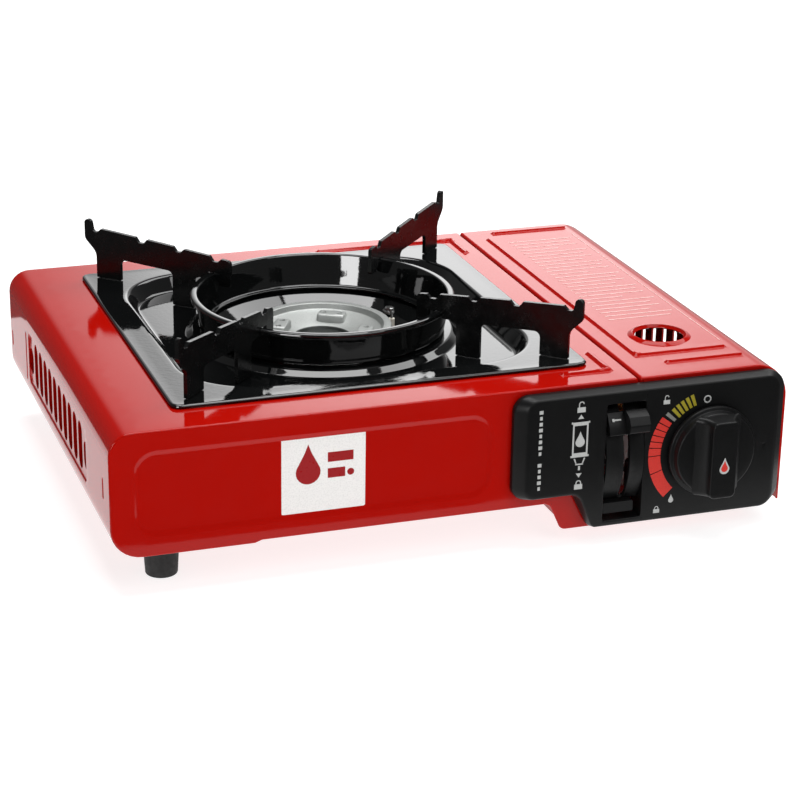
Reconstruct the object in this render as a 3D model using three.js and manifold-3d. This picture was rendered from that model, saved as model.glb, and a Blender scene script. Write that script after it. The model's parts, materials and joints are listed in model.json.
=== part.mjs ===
// Portable single-burner butane camping stove with its canister bay on the right.
// Millimetres, +X to the stove's right, +Y to its back, +Z up. The feet stand on z = 0.

import * as THREE from "three";
import { mergeVertices } from "three/addons/utils/BufferGeometryUtils.js";
import Module from "manifold-3d";

const wasm = await Module();
wasm.setup();

// ---------------------------------------------------------------- driving dimensions

const WIDTH = 340;
const DEPTH = 250;
const DECK_Z = 82; // top face of the steel body and of the closed lid
const SHEET = 1; // pressed steel thickness
const GAP = 0.3; // air left between neighbouring pieces

const LEFT = -WIDTH / 2;
const RIGHT = WIDTH / 2;
const FRONT = -DEPTH / 2;
const BACK = DEPTH / 2;

const FLOOR_Z = 21.5; // underside of the burner side
const BAY_Z = 7; // underside of the canister bay
const STEP_X = 48; // where the underside drops from the burner side to the bay
const SEAM_X = 90; // joint between the deck and the lid
const TOP_LEFT_R = 11;
const BOTTOM_LEFT_R = 15;
const LID_R = 18;
const END_FOLD_R = 2.5; // fold between the front or back face and the skin around it

const BURNER = { x: -31, y: 0 }; // centre of the tray, pan support and burner
const TRAY = { width: 208, depth: 206, top: 84, floor: 76, well: 89, wellR: 38 };
const ANNULUS = { inner: 44, outer: 66, top: 79.2 }; // raised ring pressed in the tray floor

const RING = { rimR: 67.2, rimZ: 96.6, footR: 62.5, footZ: 79.8 };
const ARM_THICKNESS = 2;

const AXIS = { x: 125.5, z: 44.3 }; // gas axis: canister, regulator and knob share it

const PANEL_BACK = FRONT - GAP;
const PANEL_FACE = FRONT - 8; // front face of the control panel
const CHANNEL = { left: 70.2, right: 90.4, bottom: 12.5, top: 73 }; // opening that the lever travels in

const LEVER = { x: 80.9, y: -97, z: 43, drum: 37.5, start: 29 };
const DRIVE_R = 8.5; // distance of the drive pin from the lever's pivot

const KNOB = { flangeR: 23, back: PANEL_FACE - 1.2, face: -150 };
const HINGE = { x: 164, z: 13, rodR: 1.6 };

const FOOT = { x: 141, y: 100, r: 9 };
const PLATE_LEFT_Z = FLOOR_Z + SHEET + GAP; // underside of the base plate on the burner side
const PLATE_RIGHT_Z = BAY_Z + 1; // underside of the base plate in the canister bay
const FEET = [
  ["front_left", -FOOT.x, -FOOT.y, PLATE_LEFT_Z],
  ["back_left", -FOOT.x, FOOT.y, PLATE_LEFT_Z],
  ["front_right", FOOT.x, -FOOT.y, PLATE_RIGHT_Z],
  ["back_right", FOOT.x, FOOT.y, PLATE_RIGHT_Z],
];

// ---------------------------------------------------------------- materials

const finish = (color, roughness, metalness) =>
  new THREE.MeshStandardMaterial({ color, roughness, metalness });

const redPaint = () => finish(0xb81a0f, 0.3, 0.1);
const blackEnamel = () => finish(0x0b0c0c, 0.12, 0.1);
const blackPlastic = () => finish(0x17191a, 0.45, 0);
const castAluminium = () => finish(0x9aa09b, 0.6, 0.8);
const bareSteel = () => finish(0xa9abad, 0.4, 0.9);
const brass = () => finish(0xb08d45, 0.35, 0.9);
const rubber = () => finish(0x121212, 0.85, 0);
const ceramic = () => finish(0xe6e2d6, 0.4, 0);

// ---------------------------------------------------------------- solid modelling helpers

// A closed geometry as a manifold solid, with shared corners merged.
function solid(geometry) {
  const bare = geometry.clone();
  bare.deleteAttribute("normal");
  bare.deleteAttribute("uv");
  const merged = mergeVertices(bare, 1e-4);
  const corners = Array.from(merged.index.array);
  const triVerts = [];
  for (let i = 0; i < corners.length; i += 3) {
    const [a, b, c] = corners.slice(i, i + 3);
    if (a !== b && b !== c && c !== a) triVerts.push(a, b, c);
  }
  return new wasm.Manifold(
    new wasm.Mesh({
      numProp: 3,
      vertProperties: new Float32Array(merged.attributes.position.array),
      triVerts: new Uint32Array(triVerts),
    }),
  );
}

function geometryOf(manifold) {
  const mesh = manifold.getMesh();
  const geometry = new THREE.BufferGeometry();
  geometry.setAttribute("position", new THREE.BufferAttribute(mesh.vertProperties, 3));
  geometry.setIndex(new THREE.BufferAttribute(mesh.triVerts, 1));
  const faceted = geometry.toNonIndexed();
  faceted.computeVertexNormals();
  return faceted;
}

const union = (...solids) => solids.reduce((all, one) => all.add(one));
const cut = (body, ...tools) => tools.reduce((rest, tool) => rest.subtract(tool), body);

// A box from its lowest to its highest corner.
function block(low, high) {
  const size = high.map((value, i) => value - low[i]);
  const geometry = new THREE.BoxGeometry(...size);
  geometry.translate(...low.map((value, i) => value + size[i] / 2));
  return solid(geometry);
}

// An outline swept along one axis. The outline's own x, y are world Y, Z along X,
// world X, Z along Y, and world X, Y along Z.
const SWEEP_FRAMES = {
  X: [new THREE.Vector3(0, 1, 0), new THREE.Vector3(0, 0, 1), new THREE.Vector3(1, 0, 0)],
  Y: [new THREE.Vector3(1, 0, 0), new THREE.Vector3(0, 0, 1), new THREE.Vector3(0, -1, 0)],
  Z: [new THREE.Vector3(1, 0, 0), new THREE.Vector3(0, 1, 0), new THREE.Vector3(0, 0, 1)],
};

function sweep(outline, axis, from, to, options = {}) {
  const { bevel = 0, bevelSegments = 1, curveSegments = 2 } = options;
  const geometry = new THREE.ExtrudeGeometry(outline, {
    depth: to - from - 2 * bevel,
    bevelEnabled: bevel > 0,
    bevelThickness: bevel,
    bevelSize: bevel,
    bevelOffset: -bevel,
    bevelSegments,
    curveSegments,
  });
  geometry.translate(0, 0, bevel);
  geometry.applyMatrix4(new THREE.Matrix4().makeBasis(...SWEEP_FRAMES[axis]));
  const start = new THREE.Vector3(...["X", "Y", "Z"].map((name) => (name === axis ? from : 0)));
  if (axis === "Y") start.y = to;
  geometry.translate(start.x, start.y, start.z);
  return solid(geometry);
}

function polygon(points) {
  return new THREE.Shape(points.map(([x, y]) => new THREE.Vector2(x, y)));
}

// A closed outline through the corners, each rounded by its own radius.
function roundedPolygon(corners) {
  const shape = new THREE.Shape();
  const count = corners.length;
  corners.forEach(([x, y, radius = 0], i) => {
    const here = new THREE.Vector2(x, y);
    const previous = new THREE.Vector2(...corners[(i + count - 1) % count].slice(0, 2));
    const next = new THREE.Vector2(...corners[(i + 1) % count].slice(0, 2));
    const toPrevious = previous.sub(here).normalize();
    const toNext = next.sub(here).normalize();
    if (radius === 0) {
      if (i === 0) shape.moveTo(x, y);
      else shape.lineTo(x, y);
      return;
    }
    const halfAngle = Math.acos(THREE.MathUtils.clamp(toPrevious.dot(toNext), -1, 1)) / 2;
    const inward = toPrevious.clone().add(toNext).normalize();
    const centre = here.clone().addScaledVector(inward, radius / Math.sin(halfAngle));
    const reach = radius / Math.tan(halfAngle);
    const start = here.clone().addScaledVector(toPrevious, reach).sub(centre);
    const end = here.clone().addScaledVector(toNext, reach).sub(centre);
    const clockwise = toPrevious.cross(toNext) > 0;
    shape.absarc(centre.x, centre.y, radius, start.angle(), end.angle(), clockwise);
  });
  shape.closePath();
  return shape;
}

function roundedRectangle(centreX, centreY, width, height, radius) {
  const x = width / 2;
  const y = height / 2;
  return roundedPolygon([
    [centreX - x, centreY - y, radius],
    [centreX + x, centreY - y, radius],
    [centreX + x, centreY + y, radius],
    [centreX - x, centreY + y, radius],
  ]);
}

const AXIS_TURNS = {
  X: new THREE.Matrix4().makeRotationZ(-Math.PI / 2),
  Y: new THREE.Matrix4(),
  Z: new THREE.Matrix4().makeRotationX(Math.PI / 2),
};

// A round bar along an axis, from one end's coordinate to the other's.
function rod(axis, centre, radius, from, to, segments = 20) {
  const geometry = new THREE.CylinderGeometry(radius, radius, to - from, segments);
  geometry.applyMatrix4(AXIS_TURNS[axis]);
  const middle = new THREE.Vector3(...centre);
  middle[axis.toLowerCase()] = (from + to) / 2;
  geometry.translate(middle.x, middle.y, middle.z);
  return solid(geometry);
}

// A turned body about Y: profile points are [radius, distance along the axis].
function lathe(profile, segments) {
  const points = profile.map(([radius, along]) => new THREE.Vector2(radius, along));
  if (THREE.ShapeUtils.area(points) < 0) points.reverse();
  return new THREE.LatheGeometry(points, segments);
}

function turned(axis, centre, profile, segments = 32) {
  const geometry = lathe(profile, segments);
  geometry.applyMatrix4(AXIS_TURNS[axis]);
  geometry.translate(...centre);
  return solid(geometry);
}

// A round tube or wire along a smooth curve through the points.
function bentRod(points, radius, steps, quarterSides = 4) {
  const path = new THREE.CatmullRomCurve3(points.map((point) => new THREE.Vector3(...point)));
  const section = new THREE.Shape().absarc(0, 0, radius, 0, 2 * Math.PI, false);
  return solid(
    new THREE.ExtrudeGeometry(section, { steps, extrudePath: path, curveSegments: quarterSides }),
  );
}

const root = new THREE.Group();

function add(name, body, material, parent = root) {
  const mesh = new THREE.Mesh(geometryOf(body), material);
  mesh.name = name;
  parent.add(mesh);
}

// ---------------------------------------------------------------- body

// The outline of the steel skin in the X-Z plane, drawn in from its outer face.
function skinOutline(inset) {
  const left = LEFT + inset;
  const top = DECK_Z - inset;
  const bottom = FLOOR_Z + inset;
  return roundedPolygon([
    [left, bottom, BOTTOM_LEFT_R - inset],
    [SEAM_X + 20, bottom],
    [SEAM_X + 20, top],
    [left, top, TOP_LEFT_R - inset],
  ]);
}

const VENT = { count: 10, first: 54.5, last: -57, low: 41, high: 62, width: 6 };

function leftWallVents() {
  const cutters = [];
  const upright = (y, low, high, width) =>
    sweep(
      roundedRectangle(y, (low + high) / 2, width, high - low, width / 2 - 0.1),
      "X",
      LEFT - 2,
      LEFT + 3,
      { curveSegments: 1 },
    );
  const pitch = (VENT.last - VENT.first) / (VENT.count - 1);
  for (let i = 0; i < VENT.count; i += 1) {
    cutters.push(upright(VENT.first + i * pitch, VENT.low, VENT.high, VENT.width));
  }
  const shortLow = 45;
  const shortHigh = 56;
  cutters.push(upright(VENT.first - pitch, shortLow, shortHigh, VENT.width));
  cutters.push(upright(VENT.last + pitch, shortLow, shortHigh, VENT.width));
  return cutters;
}

function bodyShell() {
  const outer = sweep(skinOutline(0), "Y", FRONT, BACK, { bevel: END_FOLD_R, bevelSegments: 2 });
  const inner = sweep(skinOutline(SHEET), "Y", FRONT + SHEET, BACK - SHEET, {
    bevel: END_FOLD_R - SHEET,
    bevelSegments: 2,
  });
  const returnLip = 4; // the skin turns under by this much at the bottom left
  const pastSeam = block([SEAM_X - GAP, FRONT - 1, 0], [SEAM_X + 30, BACK + 1, DECK_Z + 1]);
  const underside = block(
    [LEFT + BOTTOM_LEFT_R + returnLip, FRONT + SHEET + 2, FLOOR_Z - 1],
    [SEAM_X + 1, BACK - SHEET - 2, FLOOR_Z + SHEET + 1],
  );
  const lipEnd = block(
    [STEP_X - 6, FRONT + SHEET, FLOOR_Z - 1],
    [SEAM_X + 1, BACK - SHEET, FLOOR_Z + 2 * SHEET + 1],
  );
  const trayHole = sweep(
    roundedRectangle(BURNER.x, BURNER.y, TRAY.width - 12, TRAY.depth - 12, 6),
    "Z",
    DECK_Z - 3,
    DECK_Z + 1,
  );
  // The front and back faces run on to the right and drop to the underside of the bay.
  const apronTop = 74.5;
  const apron = roundedPolygon([
    [STEP_X + 4, BAY_Z, 4],
    [HINGE.x - 5, BAY_Z, 3],
    [HINGE.x - 5, apronTop, 12],
    [SEAM_X - 2, apronTop],
    [SEAM_X - 2, DECK_Z - END_FOLD_R - SHEET],
    [STEP_X - 8, DECK_Z - END_FOLD_R - SHEET],
    [STEP_X - 8, FLOOR_Z + 1],
    [STEP_X - 1, FLOOR_Z - 1, 4],
  ]);
  const frontApron = sweep(apron, "Y", FRONT, FRONT + SHEET);
  const backApron = sweep(apron, "Y", BACK - SHEET, BACK);
  const spindleHole = rod("Y", [AXIS.x, 0, AXIS.z], 13, FRONT - 1, FRONT + 3, 20);
  const leverHole = block(
    [CHANNEL.left - 0.5, FRONT - 1, 14],
    [CHANNEL.right + 0.5, FRONT + 3, CHANNEL.top + 1],
  );
  const shell = cut(outer, inner, pastSeam, underside, lipEnd, trayHole);
  return cut(union(shell, frontApron, backApron), spindleHole, leverHole, ...leftWallVents());
}

function basePlate() {
  const low = PLATE_LEFT_Z;
  const bayFloor = PLATE_RIGHT_Z;
  const edge = LEFT + BOTTOM_LEFT_R;
  const stepIn = STEP_X + 7;
  const outline = polygon([
    [edge, low],
    [stepIn, low],
    [stepIn, bayFloor],
    [HINGE.x - 6, bayFloor],
    [HINGE.x - 6, bayFloor + SHEET],
    [stepIn + SHEET, bayFloor + SHEET],
    [stepIn + SHEET, low + SHEET],
    [edge, low + SHEET],
  ]);
  const inFront = FRONT + SHEET + GAP + 1;
  const inBack = BACK - SHEET - GAP - 1;
  const coolingHoles = [];
  for (const angle of [45, 135, 225, 315]) {
    const turn = THREE.MathUtils.degToRad(angle);
    const x = BURNER.x + 70 * Math.cos(turn);
    const y = BURNER.y + 70 * Math.sin(turn);
    coolingHoles.push(rod("Z", [x, y, 0], 10, low - 1, low + 3, 12));
  }
  for (const y of [-70, -25, 20, 65]) {
    coolingHoles.push(rod("Z", [AXIS.x, y, 0], 6, bayFloor - 1, bayFloor + 2, 10));
  }
  const screwHoles = FEET.map(([, x, y]) => rod("Z", [x, y, 0], 1.8, bayFloor - 1, low + 3, 10));
  return cut(sweep(outline, "Y", inFront, inBack), ...coolingHoles, ...screwHoles);
}

const SHIELD_X = SEAM_X - 2.5;
const SHIELD_FRONT = -70;

// The upright wall between the burner and the canister.
function heatShield() {
  const low = BAY_Z + 2 + GAP;
  const high = DECK_Z - SHEET - GAP;
  const frontEdge = SHIELD_FRONT;
  const backEdge = BACK - 4;
  const wall = block([SHIELD_X, frontEdge, low], [SHIELD_X + SHEET, backEdge, high]);
  const footWidth = 10;
  const foot = block([SHIELD_X - footWidth, frontEdge, low], [SHIELD_X + SHEET, backEdge, low + SHEET]);
  const slots = [];
  for (const y of [-40, -5, 30, 65]) {
    const opening = roundedRectangle(y, 60, 22, 5, 2.4);
    slots.push(sweep(opening, "X", SHIELD_X - 1, SHIELD_X + 2, { curveSegments: 1 }));
  }
  return cut(union(wall, foot), ...slots);
}

add("body_shell", bodyShell(), redPaint());
add("base_plate", basePlate(), redPaint());
add("heat_shield", heatShield(), bareSteel());

// ---------------------------------------------------------------- drip tray

function dripTray() {
  const rimBottom = DECK_Z + GAP;
  const rim = sweep(
    roundedRectangle(BURNER.x, BURNER.y, TRAY.width, TRAY.depth, 5),
    "Z",
    rimBottom,
    TRAY.top,
    { bevel: 0.8 },
  );
  const well = (grow, from, to) => {
    const side = 2 * (TRAY.well + grow);
    const outline = roundedRectangle(BURNER.x, BURNER.y, side, side, TRAY.wellR + grow);
    return sweep(outline, "Z", from, to, { curveSegments: 4 });
  };
  const tub = well(SHEET, TRAY.floor - SHEET, TRAY.top);
  const hollow = well(0, TRAY.floor, TRAY.top + 2);
  const floorHole = rod("Z", [BURNER.x, BURNER.y, 0], ANNULUS.outer - 1, TRAY.floor - 3, TRAY.floor + 3, 32);
  const { inner, outer, top } = ANNULUS;
  const underside = TRAY.floor - SHEET;
  const annulus = turned(
    "Z",
    [BURNER.x, BURNER.y, 0],
    [
      [inner, top - 3],
      [inner + 1, top - 3],
      [inner + 1, top - SHEET],
      [outer - 4, top - SHEET],
      [outer - 1.5, underside],
      [outer, underside],
      [outer, TRAY.floor],
      [outer - 2.5, top],
      [inner, top],
      [inner, top - 3],
    ],
    32,
  );
  return union(cut(union(rim, tub), hollow, floorHole), annulus);
}

add("drip_tray", dripTray(), blackEnamel());

// ---------------------------------------------------------------- pan support

function panSupportRing() {
  const { rimR, rimZ, footR, footZ } = RING;
  const wall = 1.2;
  return turned(
    "Z",
    [BURNER.x, BURNER.y, 0],
    [
      [footR - 5, footZ],
      [footR, footZ],
      [rimR - 2.6, rimZ - 2.2],
      [rimR, rimZ - 1.6],
      [rimR, rimZ],
      [rimR - 1, rimZ + 0.8],
      [rimR - 3.2, rimZ + 0.8],
      [rimR - 4, rimZ - 0.6],
      [footR - wall, footZ + wall],
      [footR - 5, footZ + wall],
      [footR - 5, footZ],
    ],
    32,
  );
}

// One upright arm in its own plane: x is the distance from the ring's axis, y is the height.
function armOutline() {
  const legBottom = TRAY.top + GAP;
  const innerLegBottom = TRAY.floor + GAP;
  const ringSlotTop = RING.rimZ + 0.8 + GAP;
  return roundedPolygon([
    [53.5, 91, 1.5],
    [60.3, 91, 1],
    [60.3, ringSlotTop],
    [RING.rimR + GAP, ringSlotTop],
    [RING.rimR + GAP, 94, 1],
    [72, 94],
    [75.5, 92.5, 2],
    [75.5, innerLegBottom],
    [88.5, innerLegBottom],
    [88.5, 94.5, 3],
    [120.5, 96, 3],
    [120.5, legBottom],
    [135.5, legBottom],
    [135.5, 98, 6],
    [142.5, 105, 4],
    [142.5, 115.5, 2.2],
    [138.6, 115.5, 2],
    [137.4, 109.2, 1.5],
    [134.6, 109.2],
    [132.4, 111.2],
    [111, 109.8],
    [109, 107],
    [106, 107],
    [104, 109.4],
    [88, 108.2],
    [86, 105.6],
    [83.4, 105.6],
    [81.4, 107.6],
    [66, 106.4],
    [64, 103.6],
    [61, 103.6],
    [59, 105.6],
    [53.5, 105, 2],
  ]);
}

function panSupportArm() {
  return sweep(armOutline(), "Y", -ARM_THICKNESS / 2, ARM_THICKNESS / 2, { curveSegments: 1 });
}

const ARMS = [
  ["pan_support_arm_back_right", 45],
  ["pan_support_arm_back_left", 135],
  ["pan_support_arm_front_left", 225],
  ["pan_support_arm_front_right", 315],
];

add("pan_support_ring", panSupportRing(), blackEnamel());
for (const [name, angle] of ARMS) {
  const turntable = new THREE.Group();
  turntable.position.set(BURNER.x, BURNER.y, 0);
  turntable.rotation.z = THREE.MathUtils.degToRad(angle);
  root.add(turntable);
  add(name, panSupportArm(), blackEnamel(), turntable);
}

// ---------------------------------------------------------------- burner

const BURNER_TOP = 80.5;
const CUP = { top: 74.5, bottom: 50, mouthR: 30, footR: 20 };

function burnerCap() {
  const centre = [BURNER.x, BURNER.y, 0];
  const dish = turned(
    "Z",
    centre,
    [
      [0, 71],
      [14, 71],
      [14.8, 75],
      [30.5, 78.6],
      [31, BURNER_TOP],
      [35.6, BURNER_TOP],
      [35.6, 77],
      [32, 75.2],
      [15.5, 69.8],
      [0, 69.8],
    ],
    28,
  );
  const ports = [];
  for (const angle of [60, 150, 240, 330]) {
    const turn = THREE.MathUtils.degToRad(angle);
    const port = new THREE.BoxGeometry(9, 15, 4);
    port.translate(22, 0, 76.9);
    port.rotateZ(turn);
    port.translate(BURNER.x, BURNER.y, 0);
    ports.push(solid(port));
  }
  return union(dish, ...ports);
}

function burnerCup() {
  const wall = 1.6;
  const cup = turned(
    "Z",
    [BURNER.x, BURNER.y, 0],
    [
      [0, CUP.bottom],
      [CUP.footR, CUP.bottom],
      [CUP.mouthR, CUP.bottom + 14],
      [CUP.mouthR, CUP.top - 2],
      [CUP.mouthR + 3, CUP.top - 0.8],
      [CUP.mouthR + 3, CUP.top],
      [CUP.mouthR - wall, CUP.top - 0.6],
      [CUP.mouthR - wall, CUP.bottom + 15],
      [CUP.footR - wall, CUP.bottom + wall],
      [0, CUP.bottom + wall],
    ],
    24,
  );
  const inlet = turnedAlongTube([
    [0, TUBE_LENGTH - 50],
    [6 + GAP, TUBE_LENGTH - 50],
    [6 + GAP, TUBE_LENGTH - 15],
    [0, TUBE_LENGTH - 15],
  ]);
  return cut(cup, inlet);
}

// The mixing tube runs level from the jet to the cup's side.
const JET = { x: 57, y: -62, z: 56 };
const TUBE_ANGLE = Math.atan2(BURNER.y - JET.y, BURNER.x - JET.x);
const TUBE_LENGTH = Math.hypot(BURNER.y - JET.y, BURNER.x - JET.x);

// A turned piece on the line from the jet to the burner, measured from the jet.
function turnedAlongTube(profile, segments = 16) {
  const geometry = lathe(profile, segments);
  geometry.rotateZ(TUBE_ANGLE - Math.PI / 2);
  geometry.translate(JET.x, JET.y, JET.z);
  return solid(geometry);
}

function mixingTube() {
  const start = 3;
  const end = TUBE_LENGTH - 22;
  return turnedAlongTube([
    [9, start],
    [6, start + 12],
    [6, end],
    [5, end],
    [5, start + 12],
    [8, start],
    [9, start],
  ]);
}

function gasJet() {
  return turnedAlongTube([
    [0, -14],
    [4.5, -14],
    [4.5, -7],
    [3, -6],
    [2, 1.5],
    [0, 1.5],
  ]);
}

function burnerScrew(angle) {
  const turn = THREE.MathUtils.degToRad(angle);
  const x = BURNER.x + 50 * Math.cos(turn);
  const y = BURNER.y + 50 * Math.sin(turn);
  const seat = ANNULUS.top + GAP;
  return turned(
    "Z",
    [x, y, 0],
    [
      [0, seat],
      [3.4, seat],
      [3.4, seat + 1],
      [2.2, seat + 2],
      [0, seat + 2],
    ],
    10,
  );
}

// A steel ring that hangs the burner under the tray.
function burnerBracket() {
  const top = ANNULUS.top - SHEET - GAP;
  const thickness = 1.2;
  return cut(
    rod("Z", [BURNER.x, BURNER.y, 0], 53, top - thickness, top, 28),
    rod("Z", [BURNER.x, BURNER.y, 0], 46, top - 5, top + 5, 28),
  );
}

add("burner_cap", burnerCap(), castAluminium());
add("burner_cup", burnerCup(), castAluminium());
add("mixing_tube", mixingTube(), bareSteel());
add("gas_jet", gasJet(), brass());
[30, 150, 270].forEach((angle, i) => {
  add(`burner_screw_${i + 1}`, burnerScrew(angle), bareSteel());
});
add("burner_bracket", burnerBracket(), bareSteel());

// ---------------------------------------------------------------- gas train

// The regulator is a cast body on the gas axis, with the knob's spindle in front
// and the canister's socket behind.
const REGULATOR = { front: FRONT + SHEET + 4, back: FRONT + 34, r: 17 };
const PORT_Y = REGULATOR.front + 15; // the gas leaves the regulator sideways here
const IGNITER = { x: AXIS.x - 24, y: FRONT + 4, z: AXIS.z - 22 };

function regulatorBody() {
  const { front, back, r } = REGULATOR;
  const centre = [AXIS.x, 0, AXIS.z];
  const barrel = turned("Y", centre, [
    [0, front],
    [9, front],
    [9, front + 4],
    [r, front + 5],
    [r, back - 6],
    [12, back - 4],
    [12, back],
    [0, back],
  ], 24);
  const port = rod("X", [0, PORT_Y, JET.z], 5, AXIS.x - r - 7, AXIS.x, 16);
  const lug = block(
    [AXIS.x - 24, back - 12, AXIS.z - 4],
    [AXIS.x + 24, back - 8, AXIS.z + 4],
  );
  const spindleBore = rod("Y", centre, 3.4, front - 1, front + 8, 16);
  return cut(union(barrel, port, lug), spindleBore);
}

function canisterSocket() {
  const start = REGULATOR.back + GAP;
  return turned("Y", [AXIS.x, 0, AXIS.z], [
    [3, start],
    [11.5, start],
    [11.5, start + 7],
    [8.5, start + 7],
    [8.5, start + 2.5],
    [3, start + 2.5],
    [3, start],
  ], 20);
}

function canisterSeal() {
  const start = REGULATOR.back + GAP + 2.5 + GAP;
  return turned("Y", [AXIS.x, 0, AXIS.z], [
    [3.2, start],
    [8, start],
    [8, start + 3],
    [3.2, start + 3],
    [3.2, start],
  ], 20);
}

// A steel plate across the bay that carries the regulator and, at its top, the tongue
// that fits the notch in a canister's collar.
const PLATE_Y = REGULATOR.back - 8 + GAP;

function regulatorPlate() {
  const low = BAY_Z + 2 + GAP;
  const left = AXIS.x - 27;
  const outline = roundedPolygon([
    [left, low],
    [HINGE.x - 8, low],
    [HINGE.x - 8, 72, 6],
    [AXIS.x + 9, 72],
    [AXIS.x + 4, 74.5],
    [AXIS.x - 4, 74.5],
    [AXIS.x - 9, 72],
    [left, 72, 6],
  ]);
  const plate = sweep(outline, "Y", PLATE_Y, PLATE_Y + 1.2);
  const tongueRoot = AXIS.z + 19;
  const tongue = block(
    [AXIS.x - 2.5, PLATE_Y, tongueRoot],
    [AXIS.x + 2.5, PLATE_Y + 12, tongueRoot + 1.2],
  );
  const hole = rod("Y", [AXIS.x, 0, AXIS.z], REGULATOR.r + GAP, PLATE_Y - 2, PLATE_Y + 3, 24);
  const foot = block([left, PLATE_Y - 10, low], [HINGE.x - 8, PLATE_Y + 1, low + SHEET]);
  const leadHole = rod("Y", [IGNITER.x, 0, IGNITER.z - 3], 2.6, PLATE_Y - 2, PLATE_Y + 3, 12);
  const footScrewHole = rod("Z", [FOOT.x, -FOOT.y, 0], 3, low - 1, low + 3, 12);
  return cut(union(plate, tongue, foot), hole, leadHole, footScrewHole);
}

function regulatorScrew(side) {
  const x = AXIS.x + side * 20;
  const head = REGULATOR.back - 12 - GAP;
  return turned("Y", [x, 0, AXIS.z], [
    [0, head - 2],
    [2, head - 2],
    [3, head - 1],
    [3, head],
    [0, head],
  ], 12);
}

function gasPipe() {
  const portEnd = AXIS.x - REGULATOR.r - 7 - GAP;
  const y = PORT_Y;
  const jetBack = 15;
  const jetX = JET.x - jetBack * Math.cos(TUBE_ANGLE);
  const jetY = JET.y - jetBack * Math.sin(TUBE_ANGLE);
  return bentRod([
    [portEnd, y, JET.z],
    [portEnd - 4, y, JET.z],
    [portEnd - 8, y + 7, JET.z],
    [portEnd - 11, y + 21, JET.z],
    [jetX + 14, jetY - 6, JET.z],
    [jetX, jetY, JET.z],
  ], 2.5, 18, 4);
}

add("regulator_body", regulatorBody(), castAluminium());
add("regulator_plate", regulatorPlate(), bareSteel());
add("regulator_screw_left", regulatorScrew(-1), bareSteel());
add("regulator_screw_right", regulatorScrew(1), bareSteel());
add("canister_socket", canisterSocket(), brass());
add("canister_seal", canisterSeal(), rubber());
add("gas_pipe", gasPipe(), brass());

// ---------------------------------------------------------------- ignition

function igniterModule() {
  const { x, y, z } = IGNITER;
  const body = sweep(roundedRectangle(x, z, 12, 16, 2), "Y", y, y + 20, { curveSegments: 2 });
  const plunger = rod("Y", [x, 0, z + 3], 2.4, y - 1.6, y + 1, 12);
  return union(body, plunger);
}

function electrodeInsulator() {
  const [x, y] = [BURNER.x + 39.5, BURNER.y + 6];
  return turned("Z", [x, y, 0], [
    [0, 60],
    [1.6, 60],
    [3, 61],
    [3, 70],
    [1.6, 73],
    [1.6, 77],
    [0, 77],
  ], 14);
}

function electrodeTip() {
  const [x, y] = [BURNER.x + 39.5, BURNER.y + 6];
  return bentRod([
    [x, y, 77 + GAP],
    [x, y, 79],
    [x - 1, y, 81.5],
    [x - 2.6, y, 83],
  ], 0.7, 5, 3);
}

function ignitionLead() {
  const { x, y, z } = IGNITER;
  const [endX, endY] = [BURNER.x + 39.5, BURNER.y + 6];
  return bentRod([
    [x, y + 20 + GAP, z - 3],
    [x, y + 28, z - 3],
    [x - 6, y + 38, z - 2],
    [x - 20, y + 46, z + 4],
    [x - 44, y + 56, z + 8],
    [endX + 18, endY - 30, 42],
    [endX + 2, endY - 6, 52],
    [endX, endY, 57],
    [endX, endY, 60 - GAP],
  ], 1.3, 26, 3);
}

add("piezo_igniter", igniterModule(), blackPlastic());
add("ignition_lead", ignitionLead(), rubber());
add("electrode_insulator", electrodeInsulator(), ceramic());
add("electrode_tip", electrodeTip(), bareSteel());

// ---------------------------------------------------------------- control panel

// The panel's front outline: a wide plate behind the knob, and a shorter one to the
// left that drops in a slant to the foot of the lever channel.
function panelOutline(inset) {
  return roundedPolygon([
    [24 + inset, 27 + inset, 8 - inset],
    [56 + inset / 3, 27 + inset, 5 + inset],
    [65 + inset / 2, 10.5 + inset, 3],
    [168 - inset, 8.5 + inset, 10 - inset],
    [168 - inset, 80 - inset, 10 - inset],
    [24 + inset, 80 - inset, 8 - inset],
  ]);
}

// The same panel from above: its two ends slope back to the body.
function panelPlan(inset) {
  return polygon([
    [24 + inset, PANEL_BACK + inset],
    [24 + inset, PANEL_BACK - 1.5],
    [29.5 + inset, PANEL_FACE + inset],
    [162 - inset, PANEL_FACE + inset],
    [168 - inset, PANEL_BACK - 1.5],
    [168 - inset, PANEL_BACK + inset],
  ]);
}

function panelBlock(inset) {
  const front = sweep(panelOutline(inset), "Y", PANEL_FACE + inset, PANEL_BACK + inset);
  return front.intersect(sweep(panelPlan(inset), "Z", 0, DECK_Z));
}

function controlPanel() {
  const wall = 2;
  const channel = block(
    [CHANNEL.left, PANEL_FACE - 1, CHANNEL.bottom],
    [CHANNEL.right, PANEL_BACK + 1, CHANNEL.top],
  );
  const channelWalls = block(
    [CHANNEL.left - wall, PANEL_FACE + 1, CHANNEL.bottom - 1.5],
    [CHANNEL.right + wall, PANEL_BACK, CHANNEL.top + wall],
  );
  const spindleHole = rod("Y", [AXIS.x, 0, AXIS.z], 6, PANEL_FACE - 1, PANEL_BACK + 1, 16);
  const shell = cut(panelBlock(0), panelBlock(wall));
  return cut(union(shell, channelWalls), channel, spindleHole);
}

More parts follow.
